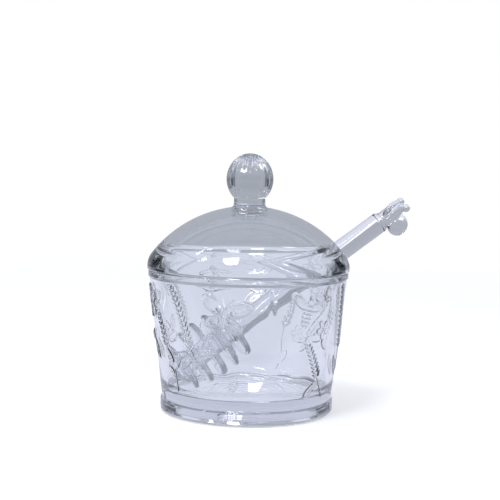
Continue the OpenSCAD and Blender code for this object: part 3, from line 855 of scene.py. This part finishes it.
# %% The far side
ear((104, 0.07), (102, 0.25), (99, 0.52), (104, 0.76))
blossom((100, 0.94), 0, 3.6, tall=0.5)
butterfly((123, 0.77), 10, 11.0)
dragonfly((128, 0.39), -30, 13.0)
ear((158, 0.09), (152, 0.49), (149, 0.72), (143, 0.94))
leaf((158, 0.15), (150, 0.29), 4.4)
leaf((176, 0.59), (184, 0.45), 4.6)
blossom((172, 0.76), 20, 7.5, tall=0.55)
ear((186, 0.06), (188, 0.15), (194, 0.35), (191, 0.59))
honeybee((206, 0.79), 14, 12.0)
blossom((214, 0.44), 0, 5.5, tall=0.5)
leaf((209, 0.29), (202, 0.17), 4.2)
ear((222, 0.09), (228, 0.46), (231, 0.69), (238, 0.92))
butterfly((252, 0.46), -16, 10.5)
leaf((246, 0.79), (254, 0.93), 4.4)
print("share of the wall that is raised: %.2f" % np.mean(canvas > 0.02))

# %% [markdown]
# ## Pressing the relief into the wall
# The wall's mesh is refined only where the drawing needs it: a face is split in four where the height
# of the drawing at its middle and along its edges isn't what its corners would give. Two rounds bring
# the faces under the figures down to a quarter of a millimetre.

# %% Refine the wall
FIGURES_LOW, FIGURES_HIGH, FIGURES_FADE = 7.8, 66.2, 1.2
SPLIT_ABOVE = 0.022
canvas_z = np.arange(len(canvas)) * CANVAS_STEP
canvas *= smooth((canvas_z - FIGURES_LOW) / FIGURES_FADE)[:, None]
canvas *= smooth((FIGURES_HIGH - canvas_z) / FIGURES_FADE)[:, None]


def unrolled(points):
    """u and z, in millimetres, of points in space that are given in metres."""
    return np.arctan2(points[:, 0], -points[:, 1]) * MEAN_R, points[:, 2] / MM


def drawn_height(u, z):
    """The canvas, read between its points."""
    column, row = (u / column_step) % canvas_columns, np.clip(z / CANVAS_STEP, 0, len(canvas) - 1.001)
    c, r = np.floor(column).astype(int), np.floor(row).astype(int)
    across, up = column - c, row - r
    c, beside = c % canvas_columns, (c + 1) % canvas_columns
    low = canvas[r, c] * (1 - across) + canvas[r, beside] * across
    high = canvas[r + 1, c] * (1 - across) + canvas[r + 1, beside] * across
    return low * (1 - up) + high * up


LOOK_AT = [np.full(4, 0.25)] + [np.roll(shares, k) for shares in ((0.5, 0.5, 0, 0), (0.6, 0.15, 0.1, 0.15))
                               for k in range(4)]


def needs_splitting(bm):
    """The four-sided faces where the drawing bends more than the corners can show."""
    quads = [f for f in bm.faces if len(f.verts) == 4]
    corners = np.array([[v.co for v in f.verts] for f in quads])
    at_corners = drawn_height(*unrolled(corners.reshape(-1, 3))).reshape(-1, 4)
    worst = np.zeros(len(quads))
    for weights in LOOK_AT:
        between = (corners * weights[None, :, None]).sum(1)
        worst = np.maximum(worst, np.abs(drawn_height(*unrolled(between)) - at_corners @ weights))
    return [f for f, off in zip(quads, worst) if off > SPLIT_ABOVE]


bm = bmesh.new()
bm.from_mesh(wall_mesh)
for round_number in range(2):
    chosen = needs_splitting(bm)
    edges = list({e for f in chosen for e in f.edges})
    bmesh.ops.subdivide_edges(bm, edges=edges, cuts=1, use_grid_fill=True)
    print("round", round_number + 1, "split", len(chosen), "faces, now", len(bm.faces))
bm.to_mesh(wall_mesh)
bm.free()

# %% [markdown]
# Two more things are real on such a jar: the wall isn't perfectly even, which makes what is behind it
# look wavy, and the mould's parts leave a hair-fine upright line where they met.

# %% Unevenness and mould lines
SWELLS = ((0.026, 23, 0.21, 0.6), (0.026, 17, -0.33, 2.1), (0.022, 11, 0.47, 4.0))
SWELL_LOW, SWELL_HIGH, SWELL_FADE = 7.0, 67.0, 4.0
MOULD_LINES, MOULD_LINE = (14.0, 134.0, 254.0), (50.0, 66.4, 0.22)
FOOT_LINES, FOOT_LINE = (-51.5, -7.5, 68.5, 112.5, 188.5, 232.5), (1.7, 6.8, -0.35)
LINE_HALF, LINE_FADE = 0.9, 0.8


def swell(u, z):
    """A slow rise and fall of the wall, which comes round to where it started."""
    return sum(tall * np.sin(waves * u / MEAN_R + slant * z + start)
               for tall, waves, slant, start in SWELLS)


def upright_line(u, z, degrees, low, high, tall):
    """A mould line: a thin ridge, or a thin groove where tall is below 0."""
    away = (u - degrees * MM_PER_DEGREE + WHOLE_TURN / 2) % WHOLE_TURN - WHOLE_TURN / 2
    ends = smooth((z - low) / LINE_FADE) * smooth((high - z) / LINE_FADE)
    return tall * np.clip(1 - (away / LINE_HALF) ** 2, 0, 1) * ends


wall_points = positions(wall_mesh)
u, z = unrolled(wall_points)
swollen = smooth((z - SWELL_LOW) / SWELL_FADE) * smooth((SWELL_HIGH - z) / SWELL_FADE)
height = drawn_height(u, z) + swell(u, z) * swollen
for places, kind in ((MOULD_LINES, MOULD_LINE), (FOOT_LINES, FOOT_LINE)):
    for degrees in places:
        height += upright_line(u, z, degrees, *kind)
out = np.hypot(wall_points[:, 0], wall_points[:, 1])
wall_points[:, :2] *= (1 + height * MM / out)[:, None]
wall_mesh.vertices.foreach_set("co", wall_points.ravel())
widest = np.hypot(wall_points[:, 0], wall_points[:, 1]).max() / MM
print("widest point of the jar: %.2f mm from the axis" % widest)

# %% [markdown]
# ## Joining the jar
# The outer wall has three columns for each one inside. Where they meet, at the rim and at the foot, a
# row of many-sided faces runs along the fine edge on one side and the coarse edge on the other, so the
# jar is closed, with no gap for light to leak through.

# %% Join the three stretches
def ring_of(bm, first, row_wanted, sides):
    """The points of one row, in turning order. first is where the piece's points start in bm."""
    row_layer = bm.verts.layers.int["row"]
    found = {}
    for v in list(bm.verts)[first[0]:first[1]]:
        if v[row_layer] == row_wanted:
            found[round(math.atan2(v.co.y, v.co.x) / (2 * math.pi) * sides) % sides] = v
    return [found[k] for k in range(sides)]


bm = bmesh.new()
parts = []
for mesh in (wall_mesh, inside_mesh, underside_mesh):
    start = len(bm.verts)
    bm.from_mesh(mesh)
    bm.verts.ensure_lookup_table()
    parts.append((start, len(bm.verts)))
rim_ring = ring_of(bm, parts[0], len(wall_section) - 1, FINE_SIDES)
foot_ring = ring_of(bm, parts[0], 0, FINE_SIDES)
for fine, coarse in ((rim_ring, ring_of(bm, parts[1], 0, coarse_sides)),
                     (foot_ring, ring_of(bm, parts[2], 0, coarse_sides))):
    for k in range(coarse_sides):
        along = [fine[(k * COARSE_EVERY + i) % FINE_SIDES] for i in range(COARSE_EVERY + 1)]
        face = bm.faces.new(along + [coarse[(k + 1) % coarse_sides], coarse[k]])
        face.smooth = True
bmesh.ops.recalc_face_normals(bm, faces=bm.faces)
jar_mesh = bpy.data.meshes.new("glass_jar")
bm.to_mesh(jar_mesh)
bm.free()
jar_mesh.materials.append(jar_glass)
jar = make_piece("glass_jar", jar_mesh)

# %% [markdown]
# ## The lid's section
# The lid is a dome four millimetres thick, with a round shoulder, a short upright edge, and a ring
# underneath that keeps it from sliding off. The knob is an oval ball on a short neck, of one piece
# with the dome.

# %% Lid sizes and outline
SEAT_Z, CROWN_Z, LID_R = 70.2, 102.0, 50.5
CROWN_R, LID_T = 61.006, 4.0
CROWN_C = CROWN_Z - CROWN_R
CEILING_R = CROWN_R - LID_T
SHOULDER, SHOULDER_R, SHOULDER_A = (40.5, 72.0), 10.0, 37.44
INNER, INNER_R, INNER_A = (34.143, 76.148), 8.0, 45.84
RING_IN, RING_OUT, RING_Z = 42.143, 44.943, 66.2
NECK_R, NECK_TOP, FILLET_R = 7.85, 106.0, 1.8
KNOB_R, KNOB_H = 11.75, 22.2
LID_EDGE, LID_SIDES, FLUTES = 0.7, 480, 24

pinch = math.degrees(math.acos(NECK_R / KNOB_R))
knob_half = KNOB_H / (1 + math.sin(math.radians(pinch)))
knob_mid = NECK_TOP + knob_half * math.sin(math.radians(pinch))
fillet_out = NECK_R + FILLET_R
fillet_up = math.sqrt((CROWN_R + FILLET_R) ** 2 - fillet_out ** 2)
fillet_a = math.degrees(math.atan2(fillet_up, fillet_out))
WAIST_OUT, WAIST_IN = 30.0, 27.0
waist_out_a = math.degrees(math.acos(WAIST_OUT / CROWN_R))
waist_in_a = math.degrees(math.acos(WAIST_IN / CEILING_R))

ceiling = arc((0, CROWN_C), CEILING_R, 90, waist_in_a, 10)
inner_skirt = joined(
    evenly(arc((0, CROWN_C), CEILING_R, waist_in_a, INNER_A, 16), 1.2),
    arc(INNER, INNER_R, INNER_A, 0, 8),
    evenly([(RING_IN, INNER[1]), (RING_IN, RING_Z + LID_EDGE)], 1.0))
edge_strip = joined(
    filleted([(RING_IN, SHOULDER[1]), (RING_IN, RING_Z), (RING_OUT, RING_Z), (RING_OUT, SEAT_Z)],
             (LID_EDGE, 4), (LID_EDGE, 4)),
    [(RING_OUT, RING_Z + 1.8), (RING_OUT, RING_Z + 2.7)],
    rounded((RING_OUT, RING_Z), (RING_OUT, SEAT_Z), (LID_R, SEAT_Z), SMALL_EDGE, 3),
    evenly([(RING_OUT + 0.6, SEAT_Z), (LID_R - 0.8, SEAT_Z)], 1.3),
    rounded((RING_OUT, SEAT_Z), (LID_R, SEAT_Z), (LID_R, SHOULDER[1]), LID_EDGE, 4))
outer_skirt = joined(
    evenly([(LID_R, SEAT_Z + LID_EDGE), (LID_R, SHOULDER[1])], 0.6),
    arc(SHOULDER, SHOULDER_R, 0, SHOULDER_A, 11),
    arc((0, CROWN_C), CROWN_R, SHOULDER_A, waist_out_a, 30))
top = joined(
    arc((0, CROWN_C), CROWN_R, waist_out_a, fillet_a, 12),
    arc((fillet_out, CROWN_C + fillet_up), FILLET_R, fillet_a - 180, -180, 6),
    evenly([(NECK_R, CROWN_C + fillet_up), (NECK_R, NECK_TOP - 0.35)], 1.0),
    [(NECK_R - 0.12, NECK_TOP - 0.1), (NECK_R - 0.1, NECK_TOP + 0.12)],
    [(KNOB_R * math.cos(a), knob_mid + knob_half * math.sin(a))
     for a in np.radians(np.linspace(-pinch + 2, 90, 40))])
lid_section = joined(ceiling, inner_skirt, edge_strip, outer_skirt, top)
lid_section[0] = (0.0, lid_section[0][1])
lid_section[-1] = (0.0, lid_section[-1][1])
print("lid section points:", len(lid_section), "knob middle", round(knob_mid, 1))

# %% [markdown]
# ## The knob's flutes
# Round ribs with sharp lines between them run up the sides of the ball to its top. They follow one
# rule, so they are a Geometry Nodes tree: going round the axis, the surface sinks in to a line, and
# swells out again between two lines. At the sides the ribs start where the ball meets the neck. At the
# front and the back they start only near the top, which leaves a smooth panel.

# %% The flute tree
PANEL_EDGE = (0.40, 0.49)
flute_tree, given = new_tree("flute_the_knob", [
    ("Flutes", "Int", 24), ("Depth share", "Float", 0.15), ("Side foot", "Float", 0.1075),
    ("Front foot", "Float", 0.1180), ("Fade", "Float", 0.005)])
at = xyz(flute_tree, put(flute_tree, "GeometryNodeInputPosition").outputs[0])
angle = calc(flute_tree, "ARCTAN2", at[1], at[0])
wave = calc(flute_tree, "SINE", times(flute_tree, given["Flutes"], 0.5, angle))
sink = calc(flute_tree, "SUBTRACT", 1.0, calc(flute_tree, "ABSOLUTE", wave))
sideways = calc(flute_tree, "ABSOLUTE", calc(flute_tree, "COSINE", angle))
foot = ramp(flute_tree, sideways, *PANEL_EDGE, given["Front foot"], given["Side foot"])
risen = ramp(flute_tree, at[2], foot, calc(flute_tree, "ADD", foot, given["Fade"]))
keep = calc(flute_tree, "SUBTRACT", 1.0, times(flute_tree, sink, given["Depth share"], risen))
ribbed = vector(flute_tree, times(flute_tree, at[0], keep), times(flute_tree, at[1], keep), at[2])
moved = put(flute_tree, "GeometryNodeSetPosition", {"Geometry": given["Geometry"], "Position": ribbed})
finish_tree(flute_tree, moved.outputs[0], given)
plain_lid = new_object("plain_lid", turned("plain_lid", lid_section, LID_SIDES, lid_glass))
lid_mesh = run_tree(plain_lid, flute_tree, Flutes=FLUTES, Glass=lid_glass)
print("lid points:", len(lid_mesh.vertices))

# %% [markdown]
# ## The notch
# The handle comes out through an arch in the lid's edge. A Boolean cut would leave knife edges, and
# pressed glass has none. So the arch is formed the way a glassmaker would nip it: the lid's edge is
# led up one side of the arch, over its top and down the other side, and the dome's mesh fans out
# from it. The points stay on the dome's own surfaces, and the edge between them gets a round profile.
#
# The handle's axis gives the arch its place. Across the axis, a is the distance to the side and b the
# distance upwards; a point of the arch lies where the line through (a, b), along the handle, meets the
# dome.

# %% Surfaces of the dome
LEAN, HEAD, DIPPER_TURN = math.radians(34.3309), (-32.9858, 22.8249), math.radians(18)
NOTCH_R, NOTCH_ROUND, ARCH_FOOT = 6.7, 0.8, 1.6
ARCH_HIGHEST, HALVINGS = 92, 40
OUT, UP, WAY = 0, 1, 2

inner_first = len(ceiling) - 1
inner_last = inner_first + len(inner_skirt) - 1
outer_first = inner_last + len(edge_strip) - 1
outer_last = outer_first + len(outer_skirt) - 1


def surface_of(section):
    """A surface of the dome, from the edge up: out from the axis, up, and the way along the section."""
    points = np.array(section)
    way = np.concatenate([[0], np.cumsum(np.hypot(*np.diff(points, axis=0).T))])
    return np.column_stack([points, way])


def look_up(surface, known, value, wanted):
    """The wanted column of a surface, where its known column has a value."""
    return float(np.interp(value, surface[:, known], surface[:, wanted]))


def meets(surface, a, b):
    """The height at which the line through (a, b) along the handle meets a surface."""
    low, high = surface[0, UP], ARCH_HIGHEST
    for _ in range(HALVINGS):
        mid = (low + high) / 2
        out = math.sqrt(max(0.0, look_up(surface, UP, mid, OUT) ** 2 - a * a))
        up = (mid - HEAD[1]) * math.cos(LEAN) - (out - HEAD[0]) * math.sin(LEAN)
        low, high = (mid, high) if up < b else (low, mid)
    return (low + high) / 2


outer = surface_of(lid_section[outer_first:outer_last + 1])
inner = surface_of(lid_section[inner_first:inner_last + 1][::-1])
for label, side in (("outer", outer), ("inner", inner)):
    print(label, "arch: its sides go up to z %.1f" % meets(side, NOTCH_R, 0),
          "and its top to z %.1f" % meets(side, 0, NOTCH_R))

# %% The path of the edge
ZONE = math.radians(36.0)
ARCH_SHARE, SIDE_SHARE, CORNER_SHARE = 0.32, 0.66, 0.76


def edge_path(surface, spin, radius):
    """Where the edge goes on one surface: (side distance a, height z) for a column at angle spin from
    the handle. radius is the arch's."""
    share, side, plain_z = min(1.0, abs(spin) / ZONE), math.copysign(1.0, spin), surface[0, UP]
    if share <= ARCH_SHARE:
        t = share / ARCH_SHARE * math.pi / 2
        a, b = radius * math.sin(t), radius * math.cos(t)
        return side * a, meets(surface, a, b)
    if share <= SIDE_SHARE:
        t = (share - ARCH_SHARE) / (SIDE_SHARE - ARCH_SHARE)
        side_top = meets(surface, radius, 0.0)
        return side * radius, side_top + (plain_z + ARCH_FOOT - side_top) * t
    if share <= CORNER_SHARE:
        t = (share - SIDE_SHARE) / (CORNER_SHARE - SIDE_SHARE) * math.pi / 2
        return side * (radius + ARCH_FOOT * (1 - math.cos(t))), plain_z + ARCH_FOOT * (1 - math.sin(t))
    t = (share - CORNER_SHARE) / (1 - CORNER_SHARE)
    start = math.asin((radius + ARCH_FOOT) / surface[0, OUT])
    return side * surface[0, OUT] * math.sin(start + (ZONE - start) * t), plain_z


for share in (0.0, 0.3, 0.5, 0.7, 0.9, 1.0):
    a, z = edge_path(outer, share * ZONE, NOTCH_R + NOTCH_ROUND)
    print("edge at", share, "of the zone: a %.2f, z %.2f" % (a, z))

# %% Form the notch
ROUND_FROM, RING_BLEND = 0.55, 0.04
rows_of = np.zeros(len(lid_mesh.vertices), int)
lid_mesh.attributes["row"].data.foreach_get("value", rows_of)
lid_co = positions(lid_mesh) / MM
spin_of = (np.arctan2(lid_co[:, 1], lid_co[:, 0]) - DIPPER_TURN + math.pi) % (2 * math.pi) - math.pi


def in_space(r, z, spin):
    """A point by its distance from the axis, its height and its angle from the handle."""
    return np.array((r * math.cos(DIPPER_TURN + spin), r * math.sin(DIPPER_TURN + spin), z))


def on_dome(surface, way, spin):
    """The point at a way up a surface, at an angle from the handle."""
    return in_space(look_up(surface, WAY, way, OUT), look_up(surface, WAY, way, UP), spin)


def spin_at(a, r):
    """The angle from the handle at which a point at radius r is a to the side."""
    return math.asin(max(-1, min(1, a / r)))


def fanned(surface, way, spin, edge):
    """A point between the notch's edge and the waist, for a column that starts at spin."""
    a, z = edge
    edge_spin, edge_way = spin_at(a, look_up(surface, UP, z, OUT)), look_up(surface, UP, z, WAY)
    share = way / surface[-1, WAY]
    return on_dome(surface, edge_way + (surface[-1, WAY] - edge_way) * share,
                   edge_spin + (spin - edge_spin) * share)


def strip_point(share, spin):
    """A point of the notch's own edge, from the inner surface to the outer one, with round sides."""
    curl = max(0.0, abs(2 * share - 1) - ROUND_FROM) / (1 - ROUND_FROM)
    radius = NOTCH_R + NOTCH_ROUND * (1 - math.sqrt(max(0.0, 1 - curl * curl)))
    ends = []
    for surface in (inner, outer):
        a, z = edge_path(surface, spin, radius)
        r, way = look_up(surface, UP, z, OUT), look_up(surface, UP, z, WAY)
        ends.append(on_dome(surface, way, spin_at(a, r)))
    return ends[0] + (ends[1] - ends[0]) * share


edges_at = {}
for i in np.nonzero((np.abs(spin_of) < ZONE) & (rows_of > inner_first) & (rows_of < outer_last))[0]:
    row_here, spin = rows_of[i], float(spin_of[i])
    key = round(spin, 6)
    if key not in edges_at:
        edges_at[key] = [edge_path(surface, spin, NOTCH_R + NOTCH_ROUND) for surface in (outer, inner)]
    outer_edge, inner_edge = edges_at[key]
    if row_here >= outer_first:
        lid_co[i] = fanned(outer, outer[row_here - outer_first, WAY], spin, outer_edge)
    elif row_here <= inner_last:
        lid_co[i] = fanned(inner, inner[inner_last - row_here, WAY], spin, inner_edge)
    else:
        usual = in_space(*lid_section[row_here], spin_at(outer_edge[0], LID_R))
        kept = smooth((abs(spin) / ZONE - SIDE_SHARE) / (CORNER_SHARE + RING_BLEND - SIDE_SHARE))
        cut = strip_point((row_here - inner_last) / (outer_first - inner_last), spin)
        lid_co[i] = cut * (1 - kept) + usual * kept
lid_mesh.vertices.foreach_set("co", (lid_co * MM).ravel())
lid = make_piece("glass_lid", lid_mesh)

# %% [markdown]
# ## The dipper
# The head is a stack of five discs on a core: honey clings between them when the dipper is lifted.
# The discs grow to the middle one and shrink again. They are part of the same section as the handle,
# so the whole stick is turned in one piece, and then laid along the line from the jar's floor over
# its rim.

# %% Dipper section
HANDLE_R, HANDLE_LEN, DISCS, PITCH, DISC_T = 5.4, 96.5, 5, 7.5, 2.8
LOW_R, MID_R, TOP_R = 13.0, 15.25, 14.0
TIP_R, TIP_H = 8.5, 4.5
COLLAR_R, COLLAR = 4.5, 1.8
DISC_FOOT_R, DISC_WEB, END_R, NECK_ROUND, COLLAR_ROUND = 0.6, 4.5, 0.55, 0.3, 0.4
STICK_SIDES = 128
HANDLE_END = (DISCS - 1) * PITCH + HANDLE_LEN
bee_foot = HANDLE_END + COLLAR


def disc_r(i):
    """The discs grow to the middle one and shrink again."""
    share = i / (DISCS - 1)
    return LOW_R + (TOP_R - LOW_R) * share + (MID_R - (LOW_R + TOP_R) / 2) * 4 * share * (1 - share)


tip_ball = (TIP_R ** 2 + TIP_H ** 2) / (2 * TIP_H)
tip_mid = tip_ball - TIP_H - DISC_T / 2
stick = arc((0, tip_mid), tip_ball, -90, math.degrees(math.asin(TIP_R / tip_ball)) - 90, 10)
for i in range(DISCS):
    up, rim = i * PITCH, disc_r(i) - DISC_T / 2
    low, high = up - DISC_T / 2, up + DISC_T / 2
    if i:
        stick += rounded((HANDLE_R, low - 2), (HANDLE_R, low), (rim, low), DISC_FOOT_R, 4)
    stick += evenly([(rim - DISC_WEB, low), (rim - 0.4, low)], 1.2)
    stick += arc((rim, up), DISC_T / 2, -90, 90, 10)
    stick += evenly([(rim - 0.4, high), (rim - DISC_WEB, high)], 1.2)
    stick += rounded((rim, high), (HANDLE_R, high), (HANDLE_R, high + 2), DISC_FOOT_R, 4)
stick += evenly([(HANDLE_R, stick[-1][1]), (HANDLE_R, HANDLE_END - 0.8)], 2.0)
stick += filleted([(HANDLE_R, 0), (HANDLE_R, HANDLE_END), (COLLAR_R, HANDLE_END), (COLLAR_R, bee_foot),
                   (0, bee_foot)], (END_R, 4), (NECK_ROUND, 3), (COLLAR_ROUND, 3))
stick = joined(stick, [(2.0, bee_foot), (0.0, bee_foot)])
stick[0] = (0.0, stick[0][1])
stick_mesh = turned("stick", stick, STICK_SIDES, dipper_glass)
print("stick points:", len(stick_mesh.vertices))
print("disc radii in mm:", [round(disc_r(i), 1) for i in range(DISCS)])

# %% [markdown]
# ## The bee at the end
# A small bee sits on the end of the handle: an egg-shaped body, two round wings and two round eyes.
# Such moulded forms melt into each other, so they are voxel-remeshed together and smoothed, which
# leaves soft hollows where they meet.

# %% Bee forms
BEE_R, BEE_LEN, WING_R, WING_T, WING_ROOT, SPREAD = 4.3, 14.0, 6.0, 3.2, 0.6, 125.0
EYE_R, EYE_GAP, EYES_TURN = 2.1, 4.6, -30.0
WING_SINK, WING_SWELL, EYE_SINK, BEE_SINK = 0.5, 1.08, 0.2, 0.9
VOXEL, SOFTEN, SOFTEN_TIMES = 0.22, 0.5, 8
low_a = -math.degrees(math.acos(min(1, (COLLAR_R - 0.5) / BEE_R)))
bee_half = BEE_LEN / (1 - math.sin(math.radians(low_a)))
bee_mid = bee_foot + BEE_LEN - bee_half


def ball(bm, centre, radii, turn=0.0):
    """Adds an oval ball to bm, turned about the handle's axis after it is placed."""
    placing = Matrix.Rotation(math.radians(turn), 4, "Z") @ Matrix.Translation(Vector(centre) * MM)
    bmesh.ops.create_uvsphere(bm, u_segments=48, v_segments=32, radius=1.0,
                              matrix=placing @ Matrix.Diagonal(Vector(radii) * MM).to_4x4())


def modified(thing, *others):
    """The mesh of an object with its modifiers. The object, and others that they need, are removed."""
    mesh = bpy.data.meshes.new_from_object(thing.evaluated_get(bpy.context.evaluated_depsgraph_get()))
    for used in (thing, *others):
        bpy.data.objects.remove(used)
    return mesh


bm = bmesh.new()
ball(bm, (0, 0, bee_mid), (BEE_R, BEE_R, bee_half))
for k in range(2):
    ball(bm, (WING_ROOT + WING_R, 0, bee_foot + WING_R - WING_SINK),
         (WING_R, WING_T / 2 * WING_SWELL, WING_R), -SPREAD * k)
    ball(bm, ((2 * k - 1) * EYE_GAP / 2, 0, bee_foot + BEE_LEN - EYE_SINK), (EYE_R,) * 3, EYES_TURN)
bmesh.ops.bisect_plane(bm, geom=bm.verts[:] + bm.edges[:] + bm.faces[:],
                       plane_co=(0, 0, (bee_foot - BEE_SINK) * MM), plane_no=(0, 0, 1), clear_inner=True)
bmesh.ops.holes_fill(bm, edges=[e for e in bm.edges if e.is_boundary])
bee_mesh = bpy.data.meshes.new("bee")
bm.to_mesh(bee_mesh)
bm.free()
bee = new_object("bee", bee_mesh)
melt = bee.modifiers.new("melt", "REMESH")
melt.mode = "VOXEL"
melt.voxel_size = VOXEL * MM
soften = bee.modifiers.new("soften", "SMOOTH")
soften.factor = SOFTEN
soften.iterations = SOFTEN_TIMES
melted = modified(bee)
print("bee points:", len(melted.vertices))

# %% Join the bee to the stick and lay the dipper down
stick_object, bee_object = new_object("stick", stick_mesh), new_object("bee", melted)
weld = stick_object.modifiers.new("weld", "BOOLEAN")
weld.operation = "UNION"
weld.object = bee_object
weld.solver = "EXACT"
dipper_mesh = modified(stick_object, bee_object)
lying = (Matrix.Rotation(DIPPER_TURN, 4, "Z") @ Matrix.Translation(Vector((HEAD[0], 0, HEAD[1])) * MM)
         @ Matrix.Rotation(math.pi / 2 - LEAN, 4, "Y"))
dipper_mesh.transform(lying)
dipper_mesh.polygons.foreach_set("use_smooth", [True] * len(dipper_mesh.polygons))
dipper_mesh.materials.clear()
dipper_mesh.materials.append(dipper_glass)
dipper = make_piece("glass_dipper", dipper_mesh)

# %% [markdown]
# ## Hand the pieces to the frame
# Each glass piece rides on its own body, so the lid lifts and the dipper draws out, and it stands for
# the plain CAD solid, which is hidden.

# %% Ride and replace
for piece, body, slot in ((jar, "jar", "jar_glass"), (lid, "lid", "lid_glass"),
                          (dipper, "dipper", "dipper_glass")):
    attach(piece, body)
    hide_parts(body)
    print(piece.name, "rides on", body)

# %% [markdown]
# ## Render settings that belong to the scene
# Light passes a dozen surfaces on its way through two walls, the lid and the dipper, so it needs many
# bounces. The view transform is Standard, so a colour shows as it is written.

# %% Light paths and view
scene = bpy.context.scene
scene.view_settings.view_transform = "Standard"
scene.cycles.max_bounces = 32
scene.cycles.transmission_bounces = 32
scene.cycles.glossy_bounces = 12
scene.cycles.diffuse_bounces = 3
scene.cycles.transparent_max_bounces = 16
scene.cycles.sample_clamp_indirect = 12.0
scene.cycles.use_denoising = True
